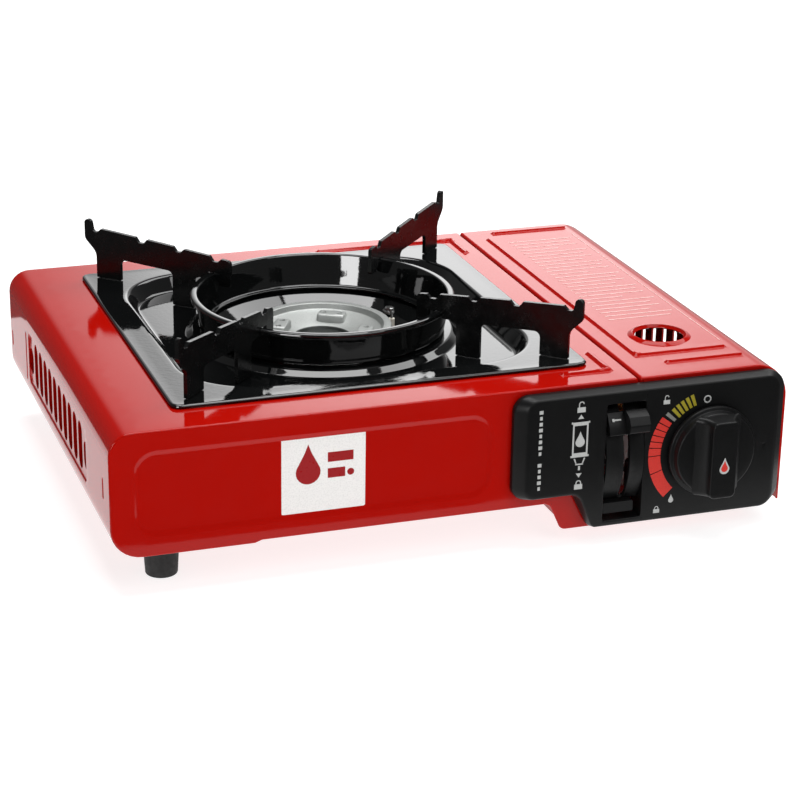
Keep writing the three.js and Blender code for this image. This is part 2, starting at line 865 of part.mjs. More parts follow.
// A slotted drum behind the channel: the lever's arm runs in its slot.
function leverGuide() {
  const { x, y, z, drum } = LEVER;
  const wall = 1.8;
  const tube = turned("X", [0, y, z], [
    [drum - wall, CHANNEL.left + GAP],
    [drum, CHANNEL.left + GAP],
    [drum, CHANNEL.right - GAP],
    [drum - wall, CHANNEL.right - GAP],
    [drum - wall, CHANNEL.left + GAP],
  ], 40);
  const top = CHANNEL.top - GAP;
  const keep = block([CHANNEL.left, y - drum - 1, 21], [CHANNEL.right, FRONT + 7, top]);
  const slot = block([x - 1.7, y - drum - 2, 22.5], [x + 1.7, y, 70.5]);
  const ledge = block(
    [CHANNEL.left + GAP, PANEL_FACE + 1, 16],
    [CHANNEL.right - 4, FRONT - 2, 21.5],
  );
  return union(cut(tube.intersect(keep), slot), ledge);
}

function panelScrew(x, z) {
  const seat = FRONT + SHEET + GAP;
  return turned("Y", [x, 0, z], [
    [0, seat],
    [3.2, seat],
    [2.6, seat + 1.8],
    [0, seat + 1.8],
  ], 14);
}

add("control_panel", controlPanel(), blackPlastic());
add("lever_guide", leverGuide(), blackPlastic());
add("panel_screw_left", panelScrew(46, 50), bareSteel());
add("panel_screw_right", panelScrew(156, 56), bareSteel());

// ---------------------------------------------------------------- knob

function controlKnob() {
  const { flangeR, back, face } = KNOB;
  const centre = [AXIS.x, 0, AXIS.z];
  const cap = turned("Y", centre, [
    [0, back - 7],
    [19, back - 7],
    [20.5, back - 6],
    [21, back - 2.5],
    [flangeR, back - 2],
    [flangeR, back],
    [0, back],
  ], 32);
  const grip = roundedPolygon([
    [AXIS.x - 11, back - 2],
    [AXIS.x - 6.8, face, 1.5],
    [AXIS.x + 6.8, face, 1.5],
    [AXIS.x + 11, back - 2],
  ]);
  const gripHalf = 20;
  const bar = sweep(grip, "Z", AXIS.z - gripHalf, AXIS.z + gripHalf, { curveSegments: 2 });
  const bore = rod("Y", centre, 3 + GAP, back - 8, back + 1, 12);
  return cut(union(cap, bar), bore);
}

function valveSpindle() {
  const centre = [AXIS.x, 0, AXIS.z];
  return rod("Y", centre, 3, KNOB.back - 7.5, REGULATOR.front + 7, 12);
}

add("control_knob", controlKnob(), blackPlastic());
add("valve_spindle", valveSpindle(), bareSteel());

// ---------------------------------------------------------------- canister lever

// A point on the lever at a radius from its pivot, at an angle above the horizontal.
function leverPoint(radius, degrees) {
  const turn = THREE.MathUtils.degToRad(degrees);
  return [LEVER.y - radius * Math.cos(turn), LEVER.z + radius * Math.sin(turn)];
}

function leverArm() {
  const { x, y, z, start, drum } = LEVER;
  const reach = drum + 7;
  const halfWidth = 4;
  const spread = THREE.MathUtils.radToDeg(halfWidth / reach);
  const strap = polygon([
    leverPoint(reach, start - spread),
    leverPoint(reach, start + spread),
    leverPoint(5, start + 90),
    leverPoint(5, start - 90),
  ]);
  const thickness = 1;
  const plate = sweep(strap, "X", x - thickness, x + thickness);
  const boss = rod("X", [0, y, z], 7, x - thickness, x + thickness, 20);
  const top = DRIVE_R + 4;
  const driveArm = polygon([
    leverPoint(top, start + 90 - 18),
    leverPoint(top, start + 90 + 18),
    leverPoint(5, start + 150),
    leverPoint(5, start + 30),
  ]);
  const drive = sweep(driveArm, "X", x - thickness, x + thickness);
  const pivotHole = rod("X", [0, y, z], 2 + 0.15, x - 3, x + 3, 16);
  const [pinY, pinZ] = leverPoint(DRIVE_R, start + 90);
  const pinHole = rod("X", [0, pinY, pinZ], 1.5 + GAP / 3, x - 3, x + 3, 12);
  return cut(union(plate, boss, drive), pivotHole, pinHole);
}

function leverDrivePin() {
  const { x, start } = LEVER;
  const [pinY, pinZ] = leverPoint(DRIVE_R, start + 90);
  return rod("X", [0, pinY, pinZ], 1.5, x - 1.4, x + 6, 12);
}

function leverTab() {
  const { x, start, drum } = LEVER;
  const inner = drum + 1.2;
  const outer = drum + 11;
  const profile = polygon([
    leverPoint(inner, start - 7),
    leverPoint(outer - 2, start - 7),
    leverPoint(outer, start - 4),
    leverPoint(outer, start + 5),
    leverPoint(outer - 2, start + 7.5),
    leverPoint(inner, start + 7.5),
  ]);
  const left = CHANNEL.left + 0.8;
  const right = CHANNEL.right - 0.8;
  const tab = sweep(profile, "X", left, right, { bevel: 0.8 });
  const slot = sweep(
    polygon([
      leverPoint(inner - 2, start - 6.4),
      leverPoint(drum + 7.6, start - 6.4),
      leverPoint(drum + 7.6, start + 6.4),
      leverPoint(inner - 2, start + 6.4),
    ]),
    "X",
    x - 1 - GAP,
    x + 1 + GAP,
  );
  return cut(tab, slot);
}

function leverBracket() {
  const { x, y, z } = LEVER;
  const low = BAY_Z + 2 + GAP;
  const wall = 1.5;
  const left = x - 9;
  const cheek = roundedPolygon([
    [y - 9, low],
    [y + 9, low],
    [y + 9, z + 8, 6],
    [y - 9, z + 8, 6],
  ]);
  const sole = block([left - 8, y - 9, low], [x - 2, y + 9, low + wall]);
  const pivotHole = rod("X", [0, y, z], 2 + 0.05, left - 1, left + wall + 1, 16);
  return cut(union(sweep(cheek, "X", left, left + wall), sole), pivotHole);
}

function leverPivotPin() {
  const { x, y, z } = LEVER;
  const left = x - 9;
  return turned("X", [0, y, z], [
    [0, left - 2],
    [3.5, left - 2],
    [3.5, left - GAP],
    [2, left - GAP],
    [2, x + 2.6],
    [0, x + 2.6],
  ], 16);
}

// The spring that holds the lever at either end of its travel, wound round the pivot.
function leverSpring() {
  const { x, y, z } = LEVER;
  const turns = 3;
  const pointsPerTurn = 8;
  const coilR = 4;
  const from = x - 6.2;
  const pitch = 1.4;
  const points = [];
  for (let i = 0; i <= turns * pointsPerTurn; i += 1) {
    const angle = (2 * Math.PI * i) / pointsPerTurn;
    const along = from + (pitch * i) / pointsPerTurn;
    points.push([along, y + coilR * Math.cos(angle), z + coilR * Math.sin(angle)]);
  }
  return bentRod(points, 0.45, turns * 10, 2);
}

add("lever_arm", leverArm(), bareSteel());
add("lever_tab", leverTab(), blackPlastic());
add("lever_drive_pin", leverDrivePin(), bareSteel());
add("lever_bracket", leverBracket(), bareSteel());
add("lever_pivot_pin", leverPivotPin(), bareSteel());
add("lever_spring", leverSpring(), bareSteel());

// ---------------------------------------------------------------- canister carriage

const CARRIAGE_TRAVEL = 7.3; // the lever's pin draws it this far forward
const CARRIAGE_RIVETS = { x: AXIS.x + 15, front: -40, rear: 70 }; // beside the canister's lowest line

// A slide on the bay floor: its rear hook pushes the canister onto the socket when the
// lever's pin draws its upright ear forward.
function canisterCarriage() {
  const low = BAY_Z + 2 + GAP;
  const high = low + SHEET;
  const left = AXIS.x - 22;
  const right = AXIS.x + 22;
  const front = SHIELD_FRONT + 6;
  const back = BACK - 6;
  const deck = block([left, front, low], [right, back, high]);
  const hook = sweep(
    roundedPolygon([
      [left, low],
      [right, low],
      [right, 30, 6],
      [left, 30, 6],
    ]),
    "Y",
    back - SHEET,
    back,
  );
  const earX = LEVER.x + 3.4;
  const tieFront = SHIELD_FRONT - 18;
  const tieBack = SHIELD_FRONT - 9;
  const tie = block([earX, tieFront, low], [left + 1, tieBack, high]);
  const spine = block([left, tieFront, low], [left + 8, front + 1, high]);
  const [pinY, pinZ] = leverPoint(DRIVE_R, LEVER.start + 90);
  const earOutline = polygon([
    [tieFront - 4, low],
    [tieBack, low],
    [tieBack, 28],
    [pinY + 5, 40],
    [pinY + 5, pinZ + 6],
    [pinY - 5, pinZ + 6],
    [pinY - 5, 28],
    [tieFront - 4, 20],
  ]);
  const ear = sweep(earOutline, "X", earX, earX + SHEET);
  const pinSlot = block([earX - 1, pinY - 1.8, pinZ - 3], [earX + 2, pinY + 1.8, pinZ + 4]);
  const guideSlots = [CARRIAGE_RIVETS.front, CARRIAGE_RIVETS.rear].map((y) => {
    const middle = y + CARRIAGE_TRAVEL / 2;
    const slot = roundedRectangle(CARRIAGE_RIVETS.x, middle, 5, CARRIAGE_TRAVEL + 5, 2.4);
    return sweep(slot, "Z", low - 1, high + 1, { curveSegments: 1 });
  });
  return cut(union(deck, hook, tie, spine, ear), pinSlot, ...guideSlots);
}

function carriageRivet(y) {
  const floorTop = BAY_Z + 2;
  const plateTop = floorTop + GAP + SHEET;
  return turned("Z", [CARRIAGE_RIVETS.x, y, 0], [
    [0, floorTop + GAP],
    [2, floorTop + GAP],
    [2, plateTop + GAP],
    [4, plateTop + GAP],
    [3.4, plateTop + GAP + 0.8],
    [0, plateTop + GAP + 0.8],
  ], 14);
}

add("canister_carriage", canisterCarriage(), bareSteel());
add("carriage_rivet_front", carriageRivet(CARRIAGE_RIVETS.front), bareSteel());
add("carriage_rivet_rear", carriageRivet(CARRIAGE_RIVETS.rear), bareSteel());

// ---------------------------------------------------------------- canister lid

const LID_VENT = { x: 125, y: -71, holeR: 12.5 };

function lidOutline(inset) {
  const top = DECK_Z - inset;
  const right = RIGHT - inset;
  return roundedPolygon([
    [SEAM_X - 20, BAY_Z - 10],
    [right, BAY_Z - 10],
    [right, top, LID_R - inset],
    [SEAM_X - 20, top],
  ]);
}

function canisterLid() {
  const folds = { bevelSegments: 2, curveSegments: 3 };
  const outer = sweep(lidOutline(0), "Y", FRONT, BACK, { ...folds, bevel: END_FOLD_R });
  const inner = sweep(lidOutline(SHEET), "Y", FRONT + SHEET, BACK - SHEET, {
    ...folds,
    bevel: END_FOLD_R - SHEET,
  });
  const seam = SEAM_X + GAP;
  const beyondSeam = block([SEAM_X - 40, FRONT - 1, -20], [seam, BACK + 1, DECK_Z + 1]);
  const lowEdge = HINGE.z - 4;
  const below = block([SEAM_X - 40, FRONT - 1, -20], [RIGHT + 1, BACK + 1, lowEdge]);
  const flange = { x: 6, z: 6.5 };
  // The end faces are folded flanges, so the openings between them are cut away.
  const endOpening = sweep(
    roundedPolygon([
      [SEAM_X - 30, -20],
      [RIGHT - flange.x, -20],
      [RIGHT - flange.x, DECK_Z - flange.z, LID_R - 6],
      [SEAM_X - 30, DECK_Z - flange.z],
    ]),
    "Y",
    FRONT - 1,
    BACK + 1,
  );
  // The flanges stop above the hinge, so that they clear the body as the lid swings out.
  const flangeFoot = [FRONT - 1, BACK - 4].map((y) =>
    block([RIGHT - flange.x - 1, y, -20], [RIGHT - SHEET - 0.5, y + 5, HINGE.z + 5]),
  );
  const ventHole = rod("Z", [LID_VENT.x, LID_VENT.y, 0], LID_VENT.holeR, DECK_Z - 5, DECK_Z + 5, 20);
  const slots = [];
  const slotCount = 9;
  for (let i = 0; i < slotCount; i += 1) {
    const y = -52 + i * 13;
    slots.push(
      sweep(roundedRectangle(y, 45, 5, 24, 2.4), "X", RIGHT - 4, RIGHT + 2, { curveSegments: 1 }),
    );
  }
  const leftHem = block([seam, FRONT + 4, DECK_Z - 4], [seam + SHEET, BACK - 4, DECK_Z - 0.5]);
  const shell = union(cut(outer, inner, beyondSeam, below, endOpening), leftHem);
  const knuckles = [-1, 1].map((side) => {
    const y = side * 70;
    const curl = turned("Y", [HINGE.x, 0, HINGE.z], [
      [HINGE.rodR + 0.25, y - 20],
      [HINGE.rodR + 1.4, y - 20],
      [HINGE.rodR + 1.4, y + 20],
      [HINGE.rodR + 0.25, y + 20],
      [HINGE.rodR + 0.25, y - 20],
    ], 12);
    const webStart = HINGE.x + HINGE.rodR + 0.6;
    const web = block([webStart, y - 20, HINGE.z - 1], [RIGHT - 0.4, y + 20, HINGE.z + 1]);
    return union(curl, web);
  });
  return union(cut(shell, ventHole, ...flangeFoot, ...slots), ...knuckles);
}

function lidHingeRod() {
  return rod("Y", [HINGE.x, 0, HINGE.z], HINGE.rodR, FRONT + 8, BACK - 8, 12);
}

// Holds one end of the hinge rod off the base plate.
function hingeBracket(y) {
  const low = BAY_Z + 2 + GAP;
  const cheek = roundedPolygon([
    [HINGE.x - 14, low],
    [HINGE.x - 7, low],
    [HINGE.x + 3.4, HINGE.z - 3.4, 2],
    [HINGE.x + 3.4, HINGE.z + 3.4, 2],
    [HINGE.x - 4, HINGE.z + 3.4],
    [HINGE.x - 14, low + 3],
  ]);
  const hole = rod("Y", [HINGE.x, 0, HINGE.z], HINGE.rodR + 0.1, y - 5, y + 5, 12);
  return cut(sweep(cheek, "Y", y - 1.5, y + 1.5, { curveSegments: 1 }), hole);
}

add("canister_lid", canisterLid(), redPaint());
add("lid_hinge_rod", lidHingeRod(), bareSteel());
add("hinge_bracket_front", hingeBracket(FRONT + 12), bareSteel());
add("hinge_bracket_rear", hingeBracket(BACK - 12), bareSteel());

// ---------------------------------------------------------------- feet

function rubberFoot(x, y, under) {
  const seat = 3;
  const top = under - GAP;
  return turned("Z", [x, y, 0], [
    [3.6, 0],
    [FOOT.r - 1, 0],
    [FOOT.r, top],
    [1.8, top],
    [1.8, seat],
    [3.6, seat],
    [3.6, 0],
  ], 16);
}

function footScrew(x, y, under) {
  const seat = 3;
  const top = under + SHEET - GAP / 2;
  return turned("Z", [x, y, 0], [
    [0, 1.2],
    [3.2, 1.2],
    [3.2, seat - GAP],
    [1.5, seat - GAP],
    [1.5, top],
    [0, top],
  ], 10);
}

for (const [name, x, y, under] of FEET) {
  add(`foot_${name}`, rubberFoot(x, y, under), rubber());
  add(`foot_screw_${name}`, footScrew(x, y, under), bareSteel());
}

// The origin is under the middle of the whole stove, knob included.
root.position.set(0, -(KNOB.face + BACK) / 2, 0);

export default root;
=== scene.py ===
import json
import math

import bmesh
import bpy
import numpy as np
from mathutils import Matrix, Vector
from mathutils.geometry import delaunay_2d_cdt


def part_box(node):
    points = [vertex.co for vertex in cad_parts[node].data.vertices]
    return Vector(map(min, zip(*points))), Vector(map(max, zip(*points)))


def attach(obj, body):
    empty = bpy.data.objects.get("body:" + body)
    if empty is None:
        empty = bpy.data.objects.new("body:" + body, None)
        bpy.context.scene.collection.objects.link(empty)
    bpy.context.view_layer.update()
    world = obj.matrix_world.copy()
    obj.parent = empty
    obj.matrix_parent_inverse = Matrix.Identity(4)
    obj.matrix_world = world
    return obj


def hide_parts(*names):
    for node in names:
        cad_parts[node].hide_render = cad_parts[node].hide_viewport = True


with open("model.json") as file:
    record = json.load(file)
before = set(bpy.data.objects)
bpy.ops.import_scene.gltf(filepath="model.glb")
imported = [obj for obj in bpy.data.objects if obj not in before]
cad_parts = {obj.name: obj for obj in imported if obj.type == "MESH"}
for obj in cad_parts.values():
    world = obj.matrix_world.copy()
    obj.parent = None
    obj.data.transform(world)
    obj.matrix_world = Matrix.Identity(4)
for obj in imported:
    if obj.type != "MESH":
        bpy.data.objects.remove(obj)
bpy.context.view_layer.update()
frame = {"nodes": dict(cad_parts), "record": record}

# Lengths are in millimetres until a piece is made. The frame itself is in metres.
MM = 1000.0


def box_mm(node):
    low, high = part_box(node)
    return low * MM, high * MM


body_low, body_high = box_mm("body_shell")
lid_low, lid_high = box_mm("canister_lid")
tray_low, tray_high = box_mm("drip_tray")
ring_low, ring_high = box_mm("pan_support_ring")
panel_low, panel_high = box_mm("control_panel")
knob_low, knob_high = box_mm("control_knob")
tab_low, tab_high = box_mm("lever_tab")
guide_low, guide_high = box_mm("lever_guide")
foot_high = box_mm("foot_front_left")[1]
cap_low, cap_high = box_mm("burner_cap")
pin_low, pin_high = box_mm("lever_pivot_pin")
rod_low, rod_high = box_mm("lid_hinge_rod")

LEFT = body_low.x
RIGHT = lid_high.x
FRONT = body_low.y
BACK = body_high.y
DECK = body_high.z
BAY = body_low.z  # underside of the canister bay
FLOOR = foot_high.z - 1.0  # underside of the burner side
DECK_END = lid_low.x - 1.0  # the deck's edge at the seam
LID_START = lid_low.x
LID_BOTTOM = lid_low.z
SHEET = 0.9  # thickness of the red steel
FOLD = 0.9  # radius of the folds between the skin and the end faces
SEAM_R = 1.5  # rounding of the deck and the lid where they meet
TOP_LEFT_R = 11.0
BOTTOM_LEFT_R = 15.0
LID_R = 18.0
NEAR = 1e-4  # two lengths closer than this are the same

MIDDLE_Y = (FRONT + BACK) / 2
BURNER = (ring_low + ring_high) / 2
BURNER.z = 0
TRAY_TOP = tray_high.z
TRAY_SIZE = tray_high - tray_low
WELL_DEPTH = 8.0
WELL_HALF = 89.0  # half the well's width
WELL_R = 38.0
ANNULUS_TOP = TRAY_TOP - 4.8

PANEL_BACK = panel_high.y
PANEL_FACE = panel_low.y
KNOB = (knob_low + knob_high) / 2
PIVOT = (pin_low + pin_high) / 2


# ---------------------------------------------------------------- camera and light


def direction(azimuth, elevation):
    """The unit vector at an azimuth from +Y towards +X and an elevation, in degrees."""
    a, e = math.radians(azimuth), math.radians(elevation)
    return Vector((math.sin(a) * math.cos(e), math.cos(a) * math.cos(e), math.sin(e)))


GLOW = direction(21, 15)
# Each cone of the glow: its full and zero angles in degrees, and its strength outside and inside.
GLOW_CONES = ((16, 30, 0.10, 0.70), (0, 11.5, 0.0, 2.3))


def make_camera():
    """The view that the stove is judged from: front, a little to the left and above."""
    back = direction(180 + 19.32, 20.95)
    roll = math.radians(0.944)
    target = Vector((0.006, -0.004, 0.040))
    distance = 1.2
    camera = bpy.data.objects.new("camera", bpy.data.cameras.new("camera"))
    camera.data.lens = 104.5
    camera.data.sensor_width = 36
    camera.location = target + back * distance
    turn = (-back).to_track_quat("-Z", "Y").to_matrix()
    camera.rotation_euler = (turn @ Matrix.Rotation(roll, 3, "Z")).to_euler()
    bpy.context.scene.collection.objects.link(camera)
    bpy.context.scene.camera = camera


def make_world():
    """A dim studio with a broad soft glow low down beyond the stove, as the enamel reflects it."""
    scene = bpy.context.scene
    scene.view_settings.view_transform = "Standard"
    world = bpy.data.worlds.new("studio")
    scene.world = world
    world.use_nodes = True
    nodes, links = world.node_tree.nodes, world.node_tree.links
    background = nodes["Background"]
    background.inputs["Color"].default_value = (1, 1, 1, 1)
    towards = nodes.new("ShaderNodeVectorMath")
    towards.operation = "DOT_PRODUCT"
    towards.inputs[1].default_value = GLOW
    links.new(nodes.new("ShaderNodeTexCoord").outputs["Generated"], towards.inputs[0])
    both = nodes.new("ShaderNodeMath")
    for (inner, outer, low, high), socket in zip(GLOW_CONES, both.inputs):
        cone = nodes.new("ShaderNodeMapRange")
        cone.interpolation_type = "SMOOTHSTEP"
        cone.inputs["From Min"].default_value = math.cos(math.radians(outer))
        cone.inputs["From Max"].default_value = math.cos(math.radians(inner))
        cone.inputs["To Min"].default_value = low
        cone.inputs["To Max"].default_value = high
        links.new(towards.outputs["Value"], cone.inputs["Value"])
        links.new(cone.outputs["Result"], socket)
    links.new(both.outputs["Value"], background.inputs["Strength"])


def make_lights():
    softbox("key", (0.5, -1.7, 1.75), (1.8, 1.4), 19)
    softbox("top_left", (0.0, 0.05, 1.6), (1.0, 1.25), 21)
    softbox("top_right", (1.15, 0.45, 1.6), (1.1, 1.2), 14)
    upright = softbox("front_strip", (-1.40, -1.42, 0.42), (0.6, 0.7), 13)
    upright.visible_diffuse = False  # it shows only as a reflection


def softbox(name, place, size, watts):
    """A rectangular light aimed at the stove, its place and size in metres."""
    data = bpy.data.lights.new(name, "AREA")
    data.shape = "RECTANGLE"
    data.size, data.size_y = size
    data.energy = watts
    light = bpy.data.objects.new(name, data)
    light.location = place
    light.rotation_euler = (Vector((0, 0, 0.05)) - Vector(place)).to_track_quat("-Z", "Y").to_euler()
    light.visible_camera = False
    bpy.context.scene.collection.objects.link(light)
    return light


def make_floor():
    """A plain pale floor that curves up behind the stove."""
    shell = Shell()
    rows = []
    for y, z in ((-4000, -0.2), (1900, -0.2), (2400, 60), (2800, 260), (3000, 620), (3050, 1050)):
        rows.append([(x, y, z) for x in (-5000, -1700, 1700, 5000)])
    shell.loft(rows)
    floor = shell.make("floor", floor_material(), smooth=True)
    floor.visible_glossy = False
    # The paint reflects only a pale sheet that the stove stands on, not the whole floor.
    sheet = Shell()
    sheet.loft([[(x, y, -0.1) for x in (LEFT - 115, RIGHT + 60)] for y in (FRONT - 58, BACK + 160)])
    card = sheet.make("reflected_sheet", card_material(), smooth=False)
    card.visible_camera = False
    card.visible_diffuse = False
    card.visible_shadow = False


# ---------------------------------------------------------------- flat outlines


def path(corners, closed=True, step=4.0, arc_steps=8):
    """Samples along straight edges and true arcs, as (x, y, outward normal x, y).

    corners are (x, y, radius), counter-clockwise. An open path's two ends have no radius.
    """
    count = len(corners)
    arcs = []
    for i, (x, y, radius) in enumerate(corners):
        here = Vector((x, y))
        if radius == 0:
            arcs.append([(here, None)])
            continue
        to_before = (Vector(corners[i - 1][:2]) - here).normalized()
        to_after = (Vector(corners[(i + 1) % count][:2]) - here).normalized()
        half = to_before.angle(to_after) / 2
        centre = here + (to_before + to_after).normalized() * (radius / math.sin(half))
        start = here + to_before * (radius / math.tan(half)) - centre
        end = here + to_after * (radius / math.tan(half)) - centre
        first = math.atan2(start.y, start.x)
        swing = math.atan2(end.y, end.x) - first
        swing = (swing + math.pi) % (2 * math.pi) - math.pi
        arc = []
        for k in range(arc_steps + 1):
            angle = first + swing * k / arc_steps
            out = Vector((math.cos(angle), math.sin(angle)))
            arc.append((centre + out * radius, out * (1 if swing > 0 else -1)))
        arcs.append(arc)
    samples = []
    for i in range(count):
        samples += arcs[i]
        if i == count - 1 and not closed:
            break
        a, b = arcs[i][-1][0], arcs[(i + 1) % count][0][0]
        steps = max(1, round((b - a).length / step))
        along = (b - a).normalized()
        normal = Vector((along.y, -along.x))
        samples += [(a.lerp(b, k / steps), normal) for k in range(1, steps)]
        if arcs[i][-1][1] is None:
            samples[-steps] = (a, normal)
        if arcs[(i + 1) % count][0][1] is None:
            arcs[(i + 1) % count][0] = (b, normal)
    return [(p.x, p.y, n.x, n.y) for p, n in samples]


def offset(samples, inset):
    """The samples moved inwards, as (x, y)."""
    return [(x - nx * inset, y - ny * inset) for x, y, nx, ny in samples]


def circle(x, y, radius, count=48):
    angles = [2 * math.pi * k / count for k in range(count)]
    return [(x + radius * math.cos(a), y + radius * math.sin(a)) for a in angles]


def rounded_box(x, y, width, height, radius, **options):
    w, h = width / 2, height / 2
    corners = [(x - w, y - h, radius), (x + w, y - h, radius)]
    corners += [(x + w, y + h, radius), (x - w, y + h, radius)]
    return path(corners, **options)


def stadium(a, b, radius, step=2.5, arc_steps=6):
    """The outline at a distance around the line from a to b."""
    along = Vector(b) - Vector(a)
    first = math.atan2(along.y, along.x) - math.pi / 2
    loop = []
    for centre, start in ((b, first), (a, first + math.pi)):
        for k in range(arc_steps + 1):
            angle = start + math.pi * k / arc_steps
            loop.append((centre[0] + radius * math.cos(angle), centre[1] + radius * math.sin(angle)))
    return divide(loop, step)


def divide(loop, step):
    """A closed loop with its long edges cut into shorter ones."""
    fine = []
    for i, a in enumerate(loop):
        b = loop[(i + 1) % len(loop)]
        steps = max(1, round(math.dist(a, b) / step))
        fine += [(a[0] + (b[0] - a[0]) * k / steps, a[1] + (b[1] - a[1]) * k / steps) for k in range(steps)]
    return fine


def frame_loop(xs, ys):
    """A rectangle's outline through every x along its two level edges and every y up its sides."""
    loop = [(x, ys[0]) for x in xs]
    loop += [(xs[-1], y) for y in ys[1:]]
    loop += [(x, ys[-1]) for x in reversed(xs[:-1])]
    loop += [(xs[0], y) for y in reversed(ys[1:-1])]
    return loop


def steps_between(low, high, step):
    count = max(1, round((high - low) / step))
    return [low + (high - low) * k / count for k in range(count + 1)]


# ---------------------------------------------------------------- heights of pressed shapes


def smooth(t):
    t = np.clip(t, 0, 1)
    return t * t * (3 - 2 * t)


def box_distance(points, x, y, half_width, half_height, radius):
    """Signed distance to a rounded rectangle, negative inside."""
    q = np.abs(points - np.array([x, y])) - np.array([half_width - radius, half_height - radius])
    outside = np.linalg.norm(np.maximum(q, 0), axis=1)
    return outside + np.minimum(q.max(axis=1), 0) - radius


def line_distance(points, a, b):
    a, b = np.array(a, float), np.array(b, float)
    along = b - a
    t = np.clip(((points - a) @ along) / max(along @ along, 1e-9), 0, 1)
    return np.linalg.norm(points - a - t[:, None] * along, axis=1)


def bead_height(points, lines, half_width, height):
    """A rounded bead pressed along the lines."""
    nearest = np.min([line_distance(points, a, b) for a, b in lines], axis=0)
    return height * smooth(1 - nearest / half_width)


def bead_creases(lines, half_width):
    loops = []
    for a, b in lines:
        loops += [stadium(a, b, half_width * share) for share in (0.3, 0.6, 0.85, 1.0)]
    return loops


# ---------------------------------------------------------------- meshes


def inside(points, loop):
    """Which points lie inside a closed loop."""
    loop = np.array(loop, float)
    nxt = np.roll(loop, -1, axis=0)
    x, y = points[:, 0][:, None], points[:, 1][:, None]
    crosses = (loop[:, 1] > y) != (nxt[:, 1] > y)
    with np.errstate(divide="ignore", invalid="ignore"):
        at = loop[:, 0] + (y - loop[:, 1]) / (nxt[:, 1] - loop[:, 1]) * (nxt[:, 0] - loop[:, 0])
    return np.sum(crosses & (x < at), axis=1) % 2 == 1


def region(outline, holes=(), creases=(), spacing=4.0):
    """Fills an outline, less its holes, with even triangles that follow the creases."""
    points, edges = [], []
    for loop in (outline, *holes, *creases):
        first = len(points)
        points += [tuple(p) for p in loop]
        edges += [(first + k, first + (k + 1) % len(loop)) for k in range(len(loop))]
    fixed = np.array(points, float)
    low, high = fixed.min(0), fixed.max(0)
    grid = []
    for row, y in enumerate(np.arange(low[1], high[1], spacing * 0.87)):
        shift = spacing / 2 if row % 2 else 0
        grid += [(x, y) for x in np.arange(low[0] + shift, high[0], spacing)]
    grid = np.array(grid)
    if len(grid):
        grid = grid[inside(grid, outline)]
        for hole in holes:
            grid = grid[~inside(grid, hole)]
        gap = np.array([np.min(np.sum((fixed - p) ** 2, axis=1)) for p in grid])
        grid = grid[gap > (spacing * 0.55) ** 2] if len(grid) else grid
    points += [tuple(p) for p in grid]
    found = delaunay_2d_cdt([Vector(p) for p in points], edges, [], 0, 1e-5)
    places = np.array([tuple(p) for p in found[0]])
    triangles = np.array([list(f) for f in found[2]])
    centres = places[triangles].mean(axis=1)
    keep = inside(centres, outline)
    for hole in holes:
        keep &= ~inside(centres, hole)
    return places, triangles[keep].tolist()


def in_space(axis, u, v, depth):
    """The point at u, v across an axis and at a depth along it."""
    return {"X": (depth, u, v), "Y": (u, depth, v), "Z": (u, v, depth)}[axis]


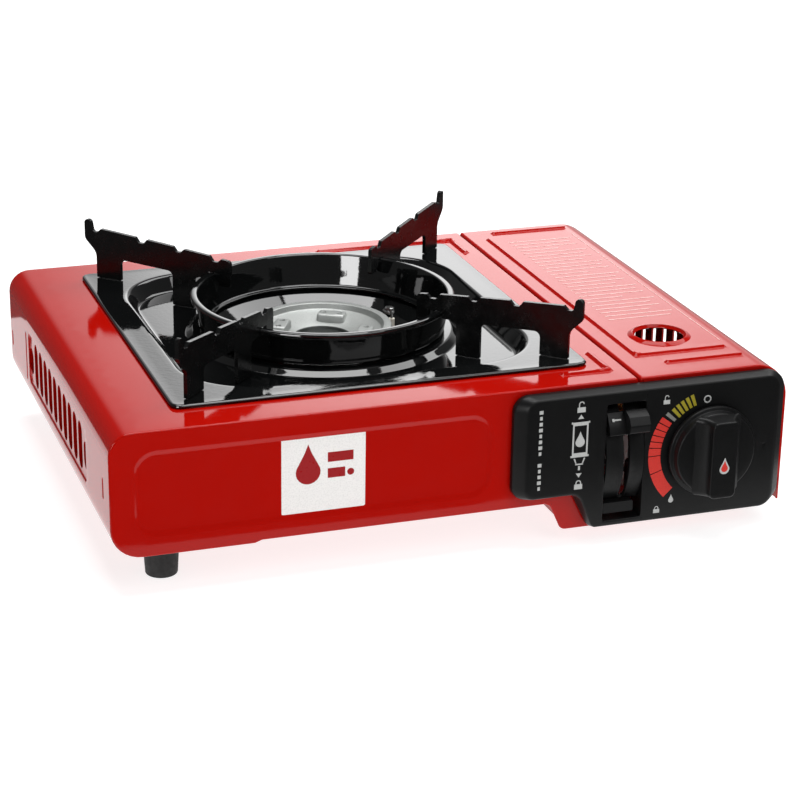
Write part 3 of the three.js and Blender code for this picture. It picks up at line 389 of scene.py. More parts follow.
class Shell:
    """Gathers surfaces and joins them along their shared edges."""

    def __init__(self):
        self.points = []
        self.faces = []

    def add(self, points, faces):
        first = len(self.points)
        self.points += [tuple(p) for p in points]
        self.faces += [[first + i for i in face] for face in faces]

    def loft(self, rows, closed=False):
        width = len(rows[0])
        last = width if closed else width - 1
        faces = []
        for r in range(len(rows) - 1):
            for c in range(last):
                d = (c + 1) % width
                faces.append([r * width + c, r * width + d, (r + 1) * width + d, (r + 1) * width + c])
        self.add([p for row in rows for p in row], faces)

    def fill(self, flat, place):
        """A filled region, each of its points put in space by place(points)."""
        places, faces = flat
        self.add(place(places), faces)

    def turn(self, profile, centre, axis, count=96):
        """A turned surface: profile is (radius, distance along the axis)."""
        u, v = (value for name, value in zip("XYZ", centre) if name != axis)
        rows = []
        for k in range(count):
            angle = 2 * math.pi * k / count
            c, s = math.cos(angle), math.sin(angle)
            rows.append([in_space(axis, u + r * c, v + r * s, h) for r, h in profile])
        self.loft(rows + [rows[0]])

    def spin(self, degrees, centre):
        """Turns the points round the Z axis and moves them to a centre."""
        turn = Matrix.Rotation(math.radians(degrees), 4, "Z")
        self.points = [tuple(turn @ Vector(p) + centre) for p in self.points]

    def make(self, name, material, smooth=True, away_from=None, thickness=0, bevel=0, sharp=35, even=False):
        """The finished object. Its normals point away from away_from, and thickness goes inwards.

        Sharp is the angle from which an edge stays crisp, and even weighs its shading by face area.
        """
        mesh = bpy.data.meshes.new(name)
        mesh.from_pydata([Vector(p) / MM for p in self.points], [], self.faces)
        work = bmesh.new()
        work.from_mesh(mesh)
        bmesh.ops.remove_doubles(work, verts=work.verts, dist=2e-6)
        bmesh.ops.dissolve_degenerate(work, edges=work.edges, dist=1e-6)
        bmesh.ops.recalc_face_normals(work, faces=work.faces)
        if away_from is not None:
            middle = Vector(away_from) / MM
            facing = sum(f.normal.dot(f.calc_center_median() - middle) * f.calc_area() for f in work.faces)
            if facing < 0:
                bmesh.ops.reverse_faces(work, faces=work.faces)
        work.to_mesh(mesh)
        work.free()
        obj = bpy.data.objects.new(name, mesh)
        bpy.context.scene.collection.objects.link(obj)
        mesh.materials.append(material)
        if thickness:
            solid = obj.modifiers.new("sheet", "SOLIDIFY")
            solid.thickness = thickness / MM
            solid.offset = -1
            solid.use_even_offset = False
        if bevel:
            round_off = obj.modifiers.new("edges", "BEVEL")
            round_off.width = bevel / MM
            round_off.segments = 3
            round_off.limit_method = "ANGLE"
            round_off.angle_limit = math.radians(40)
        if thickness or bevel:
            bpy.context.view_layer.update()
            shaped = obj.evaluated_get(bpy.context.evaluated_depsgraph_get())
            obj.data = bpy.data.meshes.new_from_object(shaped)
            obj.modifiers.clear()
            obj.data.name = name
        if smooth:
            obj.data.shade_smooth()
            obj.data.set_sharp_from_angle(angle=math.radians(sharp))
        if bevel or even:
            obj.modifiers.new("even_shading", "WEIGHTED_NORMAL").keep_sharp = True
        return obj


def finish_piece(obj, body, slot, *replaced):
    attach(obj, body)
    if replaced:
        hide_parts(*replaced)
    return obj


def plate(outline, depth_from, depth_to, axis, holes=()):
    """A flat plate: the outline's x, y lie across the axis."""
    shell = Shell()
    depths = (depth_from, depth_to)
    flat = region(outline, holes, spacing=400)
    for depth in depths:
        shell.fill(flat, lambda points: [in_space(axis, x, y, depth) for x, y in points])
    for loop in (outline, *holes):
        shell.loft([[in_space(axis, x, y, depth) for x, y in loop] for depth in depths], closed=True)
    return shell


# ---------------------------------------------------------------- materials


class Nodes:
    """A material's node tree with its Principled shader at hand."""

    def __init__(self, name):
        self.material = bpy.data.materials.new(name)
        self.material.use_nodes = True
        self.tree = self.material.node_tree
        self.shader = self.tree.nodes["Principled BSDF"]
        self.place = self.tree.nodes.new("ShaderNodeTexCoord").outputs["Object"]

    def set(self, **values):
        for name, value in values.items():
            self.shader.inputs[name.replace("_", " ")].default_value = value
        return self

    def noise(self, scale, detail=4.0, stretch=None):
        texture = self.tree.nodes.new("ShaderNodeTexNoise")
        texture.inputs["Scale"].default_value = scale
        texture.inputs["Detail"].default_value = detail
        source = self.place
        if stretch:
            mapping = self.tree.nodes.new("ShaderNodeMapping")
            mapping.inputs["Scale"].default_value = stretch
            self.tree.links.new(source, mapping.inputs["Vector"])
            source = mapping.outputs["Vector"]
        self.tree.links.new(source, texture.inputs["Vector"])
        return texture.outputs["Fac"]

    def span(self, value, low, high, to_low, to_high):
        node = self.tree.nodes.new("ShaderNodeMapRange")
        names = ("From Min", "From Max", "To Min", "To Max")
        for name, number in zip(names, (low, high, to_low, to_high)):
            node.inputs[name].default_value = number
        self.tree.links.new(value, node.inputs["Value"])
        return node.outputs["Result"]

    def blend(self, factor, first, second):
        node = self.tree.nodes.new("ShaderNodeMix")
        node.data_type = "RGBA"
        self.tree.links.new(factor, node.inputs["Factor"])
        for socket, colour in ((node.inputs["A"], first), (node.inputs["B"], second)):
            if isinstance(colour, tuple):
                socket.default_value = (*colour, 1)
            else:
                self.tree.links.new(colour, socket)
        return node.outputs["Result"]

    def join(self, output, name):
        self.tree.links.new(output, self.shader.inputs[name])

    def bump(self, height, strength, distance):
        node = self.tree.nodes.new("ShaderNodeBump")
        node.inputs["Strength"].default_value = strength
        node.inputs["Distance"].default_value = distance
        self.tree.links.new(height, node.inputs["Height"])
        self.tree.links.new(node.outputs["Normal"], self.shader.inputs["Normal"])

    def dress(self, tint, gloss, grain):
        """A two-tone colour, an uneven roughness and a fine bump, each from its own noise.

        Each starts with its noise's scale and detail. Then tint has two colours, gloss the lowest
        and highest roughness, and grain the bump's strength and distance.
        """
        self.join(self.blend(self.noise(*tint[:2]), *tint[2:]), "Base Color")
        self.join(self.span(self.noise(*gloss[:2]), 0.3, 0.7, *gloss[2:]), "Roughness")
        self.bump(self.noise(*grain[:2]), *grain[2:])
        return self.material


def red_paint():
    m = Nodes("red_paint").set(IOR=1.5, Specular_IOR_Level=0.25)
    tint = (9, 3, (0.40, 0.0028, 0.0006), (0.46, 0.0040, 0.0009))
    return m.dress(tint, (140, 5, 0.06, 0.10), (900, 2, 0.04, 0.0002))


def red_inside():
    m = Nodes("red_base_paint").set(IOR=1.4)
    tint = (25, 4, (0.30, 0.003, 0.001), (0.42, 0.006, 0.002))
    return m.dress(tint, (120, 4, 0.25, 0.4), (700, 2, 0.08, 0.0002))


def black_enamel(name="black_enamel", index=1.75, low=0.03, high=0.07, specks=0.05):
    m = Nodes(name).set(IOR=index)
    m.join(m.blend(m.noise(40, 5), (0.0018, 0.002, 0.0021), (0.0045, 0.005, 0.0052)), "Base Color")
    m.join(m.span(m.noise(220, 6), 0.35, 0.75, low, high), "Roughness")
    m.bump(m.noise(420, 3), specks, 0.0003)
    return m.material


def black_plastic(name="black_plastic", low=0.30, high=0.42, shade=0.0042):
    m = Nodes(name).set(IOR=1.45, Specular_IOR_Level=0.25)
    tint = (60, 4, (shade, shade, shade * 1.05), (shade * 1.8, shade * 1.85, shade * 1.9))
    return m.dress(tint, (900, 6, low, high), (3200, 3, 0.12, 0.0001))


def cast_aluminium():
    m = Nodes("cast_aluminium").set(Metallic=0.8, IOR=1.5)
    pores = m.noise(1300, 6)
    base = m.blend(m.noise(60, 6), (0.36, 0.375, 0.365), (0.54, 0.555, 0.54))
    m.join(m.blend(m.span(pores, 0.62, 0.8, 0, 0.6), base, (0.08, 0.085, 0.08)), "Base Color")
    m.join(m.span(pores, 0.3, 0.7, 0.42, 0.62), "Roughness")
    m.bump(pores, 0.25, 0.0004)
    return m.material


def dark_iron_and_painted_shade():
    # Dark iron for the bracket ring; the burner's centre disc also wears this colour as painted shade.
    m = Nodes("dark_iron_and_painted_shade").set(Metallic=0.4, IOR=1.5)
    tint = (220, 5, (0.018, 0.02, 0.019), (0.04, 0.044, 0.041))
    return m.dress(tint, (700, 4, 0.4, 0.6), (1300, 4, 0.2, 0.0003))


def steel():
    m = Nodes("zinc_plated_steel").set(Metallic=1.0)
    grain = m.noise(60, 5, stretch=(1, 40, 1))
    m.join(m.blend(grain, (0.34, 0.345, 0.35), (0.56, 0.56, 0.55)), "Base Color")
    m.join(m.span(grain, 0.3, 0.7, 0.26, 0.42), "Roughness")
    m.bump(m.noise(800, 5), 0.12, 0.0002)
    return m.material


def brass():
    m = Nodes("brass").set(Metallic=1.0)
    tint = (90, 5, (0.38, 0.24, 0.06), (0.60, 0.42, 0.14))
    return m.dress(tint, (500, 4, 0.2, 0.36), (1200, 3, 0.1, 0.0002))


def rubber():
    m = Nodes("black_rubber").set(IOR=1.45)
    tint = (180, 5, (0.008, 0.008, 0.008), (0.022, 0.022, 0.022))
    return m.dress(tint, (500, 4, 0.6, 0.8), (1800, 4, 0.25, 0.0003))


def ceramic():
    m = Nodes("white_ceramic").set(IOR=1.5)
    tint = (150, 4, (0.74, 0.70, 0.60), (0.84, 0.81, 0.73))
    return m.dress(tint, (400, 4, 0.2, 0.32), (900, 3, 0.1, 0.0002))


def ink(name, colour, rough=0.4):
    """Printed ink, a little uneven."""
    m = Nodes(name).set(IOR=1.4)
    faded = tuple(c * 0.82 for c in colour)
    m.join(m.blend(m.span(m.noise(1400, 5), 0.45, 0.75, 0, 0.8), colour, faded), "Base Color")
    m.join(m.span(m.noise(700, 3), 0.3, 0.7, rough - 0.05, rough + 0.1), "Roughness")
    m.bump(m.noise(2500, 2), 0.08, 0.0001)
    return m.material


def floor_material():
    m = Nodes("pale_floor").set(Roughness=0.9, IOR=1.3, Emission_Color=(1, 1, 1, 1), Emission_Strength=0.80)
    m.join(m.blend(m.noise(3, 2), (0.44, 0.44, 0.44), (0.45, 0.45, 0.45)), "Base Color")
    return m.material


def card_material():
    m = Nodes("pale_card").set(Roughness=1.0, Specular_IOR_Level=0.0, Emission_Color=(1, 1, 1, 1))
    m.set(Emission_Strength=1.1)
    m.join(m.blend(m.noise(3, 2), (0.02, 0.02, 0.02), (0.03, 0.03, 0.03)), "Base Color")
    return m.material


RED = red_paint()
RED_INSIDE = red_inside()
ENAMEL = black_enamel()
ARM_ENAMEL = black_enamel("black_enamel_satin", 1.45, 0.20, 0.30, 0.12)
PLASTIC = black_plastic()
DARK_PLASTIC = black_plastic("dark_moulding", 0.4, 0.55, 0.004)
ALUMINIUM = cast_aluminium()
DARK_IRON_AND_PAINTED_SHADE = dark_iron_and_painted_shade()
STEEL = steel()
BRASS = brass()
RUBBER = rubber()
CERAMIC = ceramic()
WHITE_INK = ink("white_ink", (0.50, 0.51, 0.50))
RED_INK = ink("red_ink", (0.66, 0.022, 0.012))
YELLOW_INK = ink("yellow_ink", (0.36, 0.30, 0.015))
GREY_INK = ink("grey_ink", (0.22, 0.22, 0.2))
STICKER_WHITE = ink("sticker_white", (0.96, 0.94, 0.92), 0.3)
STICKER_RED = ink("sticker_red", (0.38, 0.004, 0.007), 0.3)
LID_INK = ink("lid_ink", (0.82, 0.50, 0.46), 0.3)


# ---------------------------------------------------------------- body shell

APRON_RIGHT = rod_low.x - 3.4
APRON_TOP = DECK - 7.5
APRON_R = 12.0
STEP_X = 48.0
VENT_R = 4.6
LOUVRE_DEPTH = 4.0
LIP = 1.2  # how far the skin hangs lower beside the left feet
BODY_OUTLINE = [
    (LEFT, FLOOR - LIP, BOTTOM_LEFT_R),
    (-102, FLOOR - LIP, 1.5),
    (-98.5, FLOOR, 1.5),
    (STEP_X - 2.5, FLOOR, 5),
    (STEP_X + 4, BAY, 4),
    (APRON_RIGHT, BAY, 3),
    (APRON_RIGHT, APRON_TOP, APRON_R),
    (DECK_END, APRON_TOP, 2),
    (DECK_END, DECK, SEAM_R),
    (LEFT, DECK, TOP_LEFT_R),
]


def fold_rows(samples, face, inward):
    """Rows of the rounded fold from the skin to an end face, and a first flat row on the face.

    inward is the direction from the end face into the body, 1 for +Y and -1 for -Y.
    """
    rows = []
    for k in range(7):
        angle = math.pi / 2 * k / 6
        y = face + inward * FOLD * (1 - math.sin(angle))
        rows.append([(x, y, z) for x, z in offset(samples, FOLD * (1 - math.cos(angle)))])
    rows.append([(x, face, z) for x, z in offset(samples, FOLD + 0.3)])
    return rows


RECESS = {
    "left": LEFT + 10,
    "right": 16.0,
    "low": 29.0,
    "high": 73.0,
    "radius": 12.0,
    "depth": 1.3,
    "wall": 4.0,  # width of its sloping edge
}


def end_face(shell, samples, face, inward, recess_right, holes=()):
    """The front or back face, with its pressed recess."""
    outline = offset(samples, FOLD + 0.3)
    r = RECESS
    x, z = (r["left"] + recess_right) / 2, (r["low"] + r["high"]) / 2
    width, height = recess_right - r["left"], r["high"] - r["low"]
    creases = []
    for inset in (0, 1.0, 2.0, 3.0, 4.0):
        ring = rounded_box(x, z, width - 2 * inset, height - 2 * inset, r["radius"] - inset, step=3.0)
        creases.append(offset(ring, 0))

    def place(points):
        distance = box_distance(points, x, z, width / 2, height / 2, r["radius"])
        depth = r["depth"] * smooth(-distance / r["wall"])
        return [(p[0], face + inward * d, p[1]) for p, d in zip(points, depth)]

    shell.fill(region(outline, holes, creases, 5.0), place)


def deck_beads():
    """Two L-shaped beads beside the tray's right corners. The back one has a long leg."""
    x = DECK_END - 9.5
    reach = 24.0
    lines = []
    for y, side, leg in ((tray_high.y + 8.5, -1, 78.0), (tray_low.y - 8.0, 1, reach)):
        lines.append(((x, y), (x, y + side * reach)))
        lines.append(((x, y), (x - leg, y)))
    return lines


def corner_arc(samples, x, z, radius):
    """The samples of the rounded corner whose sharp point would be at x, z."""
    reach = radius + NEAR
    return [(px, pz) for px, pz, nx, nz in samples if abs(px - x) < reach and abs(pz - z) < reach]


def deck_top(shell, xs, ys):
    """The deck: a hole for the tray, and its beads."""
    hole = offset(rounded_box(BURNER.x, BURNER.y, TRAY_SIZE.x - 12, TRAY_SIZE.y - 12, 6), 0)
    beads = deck_beads()
    half_width, rise = 2.4, 1.6

    def place(points):
        height = bead_height(points, beads, half_width, rise)
        return [(p[0], p[1], DECK + h) for p, h in zip(points, height)]

    shell.fill(region(frame_loop(xs, ys), (hole,), bead_creases(beads, half_width), 8.0), place)


def left_wall(shell, ys, zs):
    """The left wall: vent slots in a shallow recess, and three short pressed marks."""
    count, pitch, first = 10, 12.39, MIDDLE_Y + 54.5
    slots = [(first - pitch * k, 44, 59) for k in range(count)]
    slots += [(first + pitch, 48, 53), (first - pitch * count, 48, 53)]
    vents = [stadium((y, low), (y, high), VENT_R, 5) for y, low, high in slots]
    y, z = first - pitch * (count - 1) / 2, 51.5
    half_width, half_height, radius = pitch * count / 2 + 11, 14.2, 4.0
    rims = []
    for inset in (0, 0.5, 1.0, 1.6):
        ring = rounded_box(y, z, 2 * (half_width - inset), 2 * (half_height - inset), radius - inset)
        rims.append(offset(ring, 0))
    marks = [
        ((FRONT + 14, 47), (FRONT + 14, 55)),
        ((BACK - 5.5, 43), (BACK - 5.5, 49)),
        ((MIDDLE_Y + 78, 38), (MIDDLE_Y + 78, 62)),
    ]

    def place(points):
        depth = bead_height(points, marks, 1.6, 0.8)
        depth += 0.9 * smooth(-box_distance(points, y, z, half_width, half_height, radius) / 1.6)
        return [(LEFT + d, p[0], p[1]) for p, d in zip(points, depth)]

    shell.fill(region(frame_loop(ys, zs), vents, bead_creases(marks, 1.6) + rims, 6.0), place)
    # The metal of each slot's rear edge is turned inwards, as a louvre.
    for vent in map(np.array, vents):
        middle = (vent[:, 0].min() + vent[:, 0].max()) / 2
        rear = vent[vent[:, 0] > middle - NEAR]
        edge = place(rear[np.argsort(rear[:, 1])])
        shell.loft([edge, [(ex + LOUVRE_DEPTH, ey, ez) for ex, ey, ez in edge]])


def body_shell():
    shell = Shell()
    samples = path(BODY_OUTLINE, step=4.0)
    ys = steps_between(FRONT + FOLD, BACK - FOLD, 5.0)
    shell.loft(fold_rows(samples, FRONT, 1), closed=True)
    shell.loft(fold_rows(samples, BACK, -1), closed=True)
    spindle = circle(KNOB.x, KNOB.z, 13)
    lever = divide(bar(guide_low.x - 2.5, 11.5, guide_high.x + 2.5, DECK - 2.6), 6)
    end_face(shell, samples, FRONT, 1, RECESS["right"], (spindle, lever))
    end_face(shell, samples, BACK, -1, DECK_END - 14)
    skin = FLOOR - LIP
    strips = [
        corner_arc(samples, DECK_END, DECK, SEAM_R),
        corner_arc(samples, LEFT, DECK, TOP_LEFT_R),
        corner_arc(samples, LEFT, skin, BOTTOM_LEFT_R),
        [(DECK_END, DECK - SEAM_R), (DECK_END, DECK - 6)],
        [(LEFT + BOTTOM_LEFT_R, skin), (LEFT + BOTTOM_LEFT_R + 4, skin)],
    ]
    for strip in strips:
        shell.loft([[(x, y, z) for y in ys] for x, z in strip])
    deck_top(shell, sorted(x for x, z, nx, nz in samples if abs(z - DECK) < NEAR), ys)
    left_wall(shell, ys, sorted(z for x, z, nx, nz in samples if abs(x - LEFT) < NEAR))
    middle = (LEFT / 2, MIDDLE_Y, DECK / 2)
    obj = shell.make("body_panels", RED, away_from=middle, thickness=SHEET, even=True)
    return finish_piece(obj, "stove_body", "red_paint", "body_shell")


# ---------------------------------------------------------------- canister lid

LID_VENT = (KNOB.x - 0.5, MIDDLE_Y - 71)


def lid_beads():
    x = LID_START + 11
    front = MIDDLE_Y - 95.5
    return [
        ((x, MIDDLE_Y + 106), (x, front)),
        ((x, front), (x + 47, front)),
        ((x + 11, front - 13), (x + 54, front - 13)),
        ((x + 7, BACK - 8), (x + 53, BACK - 8)),
    ]


def canister_lid():
    shell = Shell()
    samples = path(
        [
            (RIGHT, LID_BOTTOM, 0),
            (RIGHT, DECK, LID_R),
            (LID_START, DECK, SEAM_R),
            (LID_START, DECK - 5.5, 0),
        ],
        closed=False,
        arc_steps=12,
    )
    ys = steps_between(FRONT + FOLD, BACK - FOLD, 5.0)
    hinge_top = rod_high.z + 3.5
    flange = [s for s in samples if s[1] > hinge_top and s[0] > LID_START + SEAM_R - 0.01]
    flange_width = 6.2
    for face, inward in ((FRONT, 1), (BACK, -1)):
        shell.loft(fold_rows(samples, face, inward))
        insets = (FOLD + 0.3, 4.2, flange_width)
        shell.loft([[(x, face, z) for x, z in offset(flange, inset)] for inset in insets])
    # The back flange reaches in to a clear gap outside the apron's rounded corner.
    corner = Vector((APRON_RIGHT - APRON_R, APRON_TOP - APRON_R))
    reach = DECK - flange_width - corner.y
    inner = []
    for x, z, nx, nz in flange:
        inner.append((min(x, corner.x) + reach * nx, BACK, min(z, corner.y) + reach * nz))
    shell.loft([[(x, BACK, z) for x, z in offset(flange, flange_width)], inner])
    top_xs = sorted(x for x, z, nx, nz in samples if abs(z - DECK) < NEAR)
    wall_zs = sorted(z for x, z, nx, nz in samples if abs(x - RIGHT) < NEAR)
    strips = [
        [(x, z) for x, z, nx, nz in samples if x < LID_START + SEAM_R + NEAR],
        corner_arc(samples, RIGHT, DECK, LID_R),
    ]
    for strip in strips:
        shell.loft([[(x, y, z) for y in ys] for x, z in strip])

    beads = lid_beads()
    rim_r, hole_r = 16.0, 12.3
    hole = circle(*LID_VENT, hole_r)
    rings = [circle(*LID_VENT, r) for r in (hole_r + 0.5, hole_r + 1.2, hole_r + 2.2, rim_r)]

    def on_top(points):
        height = bead_height(points, beads, 2.2, 1.5)
        away = np.linalg.norm(points - np.array(LID_VENT), axis=1)
        rim = 1.4 * smooth((rim_r - away) / 2.2)
        roll = -1.6 * smooth((hole_r + 1.4 - away) / 1.4)
        return [(p[0], p[1], DECK + h) for p, h in zip(points, height + rim + roll)]

    shell.fill(region(frame_loop(top_xs, ys), (hole,), bead_creases(beads, 2.2) + rings, 7.0), on_top)
    slots = []
    for k in range(9):
        y = MIDDLE_Y - 52 + 13 * k
        slots.append(stadium((y, 35.5), (y, 54.5), 2.4, 5))
    flat = region(frame_loop(ys, wall_zs), slots, (), 7.0)
    shell.fill(flat, lambda points: [(RIGHT, p[0], p[1]) for p in points])
    middle = (LID_START - 20, MIDDLE_Y, DECK / 2 - 20)
    obj = shell.make("lid_panels", RED, away_from=middle, thickness=SHEET, even=True)
    return finish_piece(obj, "canister_lid", "red_paint", "canister_lid")


def lid_knuckles():
    """Two curls of sheet at the lid's foot that turn on the hinge rod."""
    x, z = (rod_low.x + rod_high.x) / 2, (rod_low.z + rod_high.z) / 2
    inner = (rod_high.x - rod_low.x) / 2 + 0.25
    for name, middle in (("lid_knuckle_front", MIDDLE_Y - 70), ("lid_knuckle_rear", MIDDLE_Y + 70)):
        ys = (middle - 20, middle - 19.6, middle + 19.6, middle + 20)
        curl = []
        for k in range(19):
            angle = math.radians(35 + 290 * k / 18)
            curl.append((x + math.cos(angle) * inner, z + math.sin(angle) * inner))
        start_x, start_z = curl[0]
        tail = (curl[0], (start_x + 1.2, start_z + 0.4), (RIGHT - SHEET - 0.1, start_z + 0.4))
        shell = Shell()
        for strip in (curl, tail):
            shell.loft([[(px, y, pz) for y in ys] for px, pz in strip])
        obj = shell.make(name, RED, away_from=(x, middle, z), thickness=-0.9)
        finish_piece(obj, "canister_lid", "red_paint")


# ---------------------------------------------------------------- drip tray


def ray_length(angle, half_x, half_y, radius):
    """How far a ray from the middle of a rounded rectangle runs to its outline."""
    c, s = abs(math.cos(angle)), abs(math.sin(angle))
    if half_x * s <= (half_y - radius) * c:
        return half_x / c
    if half_y * c <= (half_x - radius) * s:
        return half_y / s
    x, y = half_x - radius, half_y - radius
    along = x * c + y * s
    return along + math.sqrt(along * along - x * x - y * y + radius * radius)


def drip_tray():
    """The enamelled tray: a rolled rim, a well with rounded corners and a ridge round the burner."""
    rays = [2 * math.pi * k / 360 for k in range(360)]
    half_x, half_y = TRAY_SIZE.x / 2, TRAY_SIZE.y / 2
    rows = []

    def add_row(length_at, height):
        row = []
        for angle in rays:
            length = length_at(angle)
            row.append((BURNER.x + length * math.cos(angle), BURNER.y + length * math.sin(angle), height))
        rows.append(row)

    rim = ((0.5, 1.55), (0, 1.2), (0, 0.75), (0.2, 0.35), (0.6, 0.08), (1.1, 0), (1.6, 0.02), (6, 0.05))
    for inset, drop in rim:
        add_row(lambda a: ray_length(a, half_x - inset, half_y - inset, 5 - min(inset, 4)), TRAY_TOP - drop)
    wall = path(
        [(4.5, 0, 0), (0, 0, 2.6), (-5.0, -WELL_DEPTH, 2.6), (-9.0, -WELL_DEPTH, 0)],
        closed=False,
        step=1.2,
        arc_steps=7,
    )
    for out, rise, nx, ny in wall:
        half = WELL_HALF + out
        add_row(lambda a: ray_length(a, half, half, WELL_R + out), TRAY_TOP + rise)
    floor = TRAY_TOP - WELL_DEPTH
    ridge = path(
        [
            (72.5, floor, 0),
            (69.8, floor, 2.0),
            (66.2, ANNULUS_TOP - 0.4, 2.2),
            (59.5, ANNULUS_TOP, 1.4),
            (50.0, ANNULUS_TOP - 6.1, 1.6),
            (46.0, ANNULUS_TOP - 10, 0),
        ],
        closed=False,
        step=1.5,
        arc_steps=6,
    )
    for radius, height, nx, ny in ridge:
        add_row(lambda a: radius, height)
    shell = Shell()
    shell.loft(rows, closed=True)
    obj = shell.make("tray_enamel", ENAMEL, away_from=(BURNER.x, BURNER.y, -900), thickness=0.7)
    return finish_piece(obj, "stove_body", "black_enamel", "drip_tray")


# ---------------------------------------------------------------- pan support


def pan_support_ring():
    foot, top = ring_low.z, ring_high.z
    profile = path(
        [
            (57.0, foot, 0.4),
            (62.5, foot, 1.6),
            (64.7, top - 3.2, 1.0),
            (67.2, top - 2.6, 0.7),
            (67.2, top, 1.1),
            (63.6, top, 1.0),
            (59.8, foot + 1.2, 0.8),
            (57.0, foot + 1.2, 0.4),
        ],
        step=6.0,
        arc_steps=5,
    )
    shell = Shell()
    rings = [(x, y) for x, y, nx, ny in profile]
    shell.turn(rings + [rings[0]], BURNER, "Z", 128)
    obj = shell.make("ring_enamel", ENAMEL, away_from=(BURNER.x, BURNER.y, (foot + top) / 2), sharp=50)
    return finish_piece(obj, "pan_support", "black_enamel", "pan_support_ring")


def arm_corners():
    """One upright arm in its own plane: distance from the ring's axis, height, corner radius."""
    leg_bottom = TRAY_TOP + 0.3
    inner_bottom = TRAY_TOP - WELL_DEPTH + 0.3
    over_ring = ring_high.z + 0.3
    return [
        (53.5, 91, 1.5),
        (60.3, 91, 1),
        (60.3, over_ring, 0.4),
        (67.5, over_ring, 0.4),
        (67.5, 94, 1),
        (72, 94, 1.5),
        (75.5, 92.5, 2),
        (75.5, inner_bottom, 0.5),
        (88.5, inner_bottom, 0.5),
        (88.5, 94.5, 3),
        (120.5, 96, 3),
        (120.5, leg_bottom, 0.5),
        (135.5, leg_bottom, 0.5),
        (135.5, 98, 6),
        (142.5, 105, 4),
        (142.5, 115.5, 1.9),
        (138.6, 115.5, 1.9),
        (137.4, 109.2, 1.5),
        (134.6, 109.2, 0.8),
        (132.4, 111.2, 0.6),
        (111, 109.8, 0.6),
        (109, 107, 0.8),
        (106, 107, 0.8),
        (104, 109.4, 0.6),
        (88, 108.2, 0.6),
        (86, 105.6, 0.8),
        (83.4, 105.6, 0.8),
        (81.4, 107.6, 0.6),
        (66, 106.4, 0.6),
        (64, 103.6, 0.8),
        (61, 103.6, 0.8),
        (59, 105.6, 0.6),
        (53.5, 105, 2),
    ]


def pan_support_arms():
    half = 1.0
    outline = offset(path(arm_corners(), step=30, arc_steps=5), 0)
    for name, angle in (("back_right", 45), ("back_left", 135), ("front_left", 225), ("front_right", 315)):
        shell = plate(outline, -half, half, "Y")
        shell.spin(angle, BURNER)
        obj = shell.make(f"arm_{name}", ARM_ENAMEL, bevel=0.4)
        finish_piece(obj, "pan_support", "black_enamel", f"pan_support_arm_{name}")


# ---------------------------------------------------------------- burner


def burner_cap():
    top = cap_high.z
    profile = path(
        [
            (0.01, top - 8.4, 0),
            (13.8, top - 8.4, 0.6),
            (14.6, top - 7.0, 0.8),
            (30.6, top - 3.0, 0.8),
            (31.4, top, 0.6),
            (35.6, top, 1.0),
            (35.6, top - 3.4, 1.0),
            (32, top - 5.4, 1.0),
            (15.5, cap_low.z, 1.0),
            (0.01, cap_low.z, 0),
        ],
        closed=False,
        step=4.0,
        arc_steps=5,
    )
    shell = Shell()
    shell.turn([(x, y) for x, y, nx, ny in profile], BURNER, "Z", 96)
    obj = shell.make("burner_dish", ALUMINIUM, away_from=(BURNER.x, BURNER.y, top - 5), sharp=60)
    finish_piece(obj, "stove_body", "cast_aluminium", "burner_cap")


def burner_ports():
    """Four raised lands on the dish, each with two gas holes."""
    base, top = cap_high.z - 7.0, cap_high.z - 1.9
    reach, spread, hole_r = 22.0, 4.3, 1.5
    outline = rounded_box(reach, 0, 8.6, 15.2, 1.6, step=3, arc_steps=5)
    for k in range(4):
        shell = Shell()
        levels = ((0, base), (0.3, top - 1.2), (0.6, top - 0.5), (1.3, top))
        shell.loft([[(x, y, z) for x, y in offset(outline, inset)] for inset, z in levels], closed=True)
        holes = [circle(reach, y, hole_r, 20) for y in (-spread, spread)]
        land = region(offset(outline, 1.3), holes, (), 1.5)
        shell.fill(land, lambda points: [(x, y, top) for x, y in points])
        for y in (-spread, spread):
            rows = []
            for r, drop in ((hole_r, 0), (hole_r * 0.85, 0.3), (hole_r * 0.8, 1.4), (0.02, 1.5)):
                rows.append([(px, py, top - drop) for px, py in circle(reach, y, r, 20)])
            shell.loft(rows, closed=True)
        shell.spin(60 + 90 * k, BURNER)
        obj = shell.make(f"burner_port_{k + 1}", ALUMINIUM, sharp=50)
        finish_piece(obj, "stove_body", "cast_aluminium")


def burner_well_painted_shade():
    """Painted shade: a dark disc over the dish's centre that stands for the shadowed mouth of the gas
    passage.
    """
    top = cap_high.z - 7.0
    profile = [(14.7, top + 0.12), (14.1, top - 0.1), (13.4, top - 1.2), (0.01, top - 1.3)]
    shell = Shell()
    shell.turn(profile, BURNER, "Z", 64)
    # painted shade: the disc's dark colour stands in for the shadow down the gas passage
    obj = shell.make("burner_well_painted_shade", DARK_IRON_AND_PAINTED_SHADE, away_from=(BURNER.x, BURNER.y, -500))
    finish_piece(obj, "stove_body", "cast_aluminium")


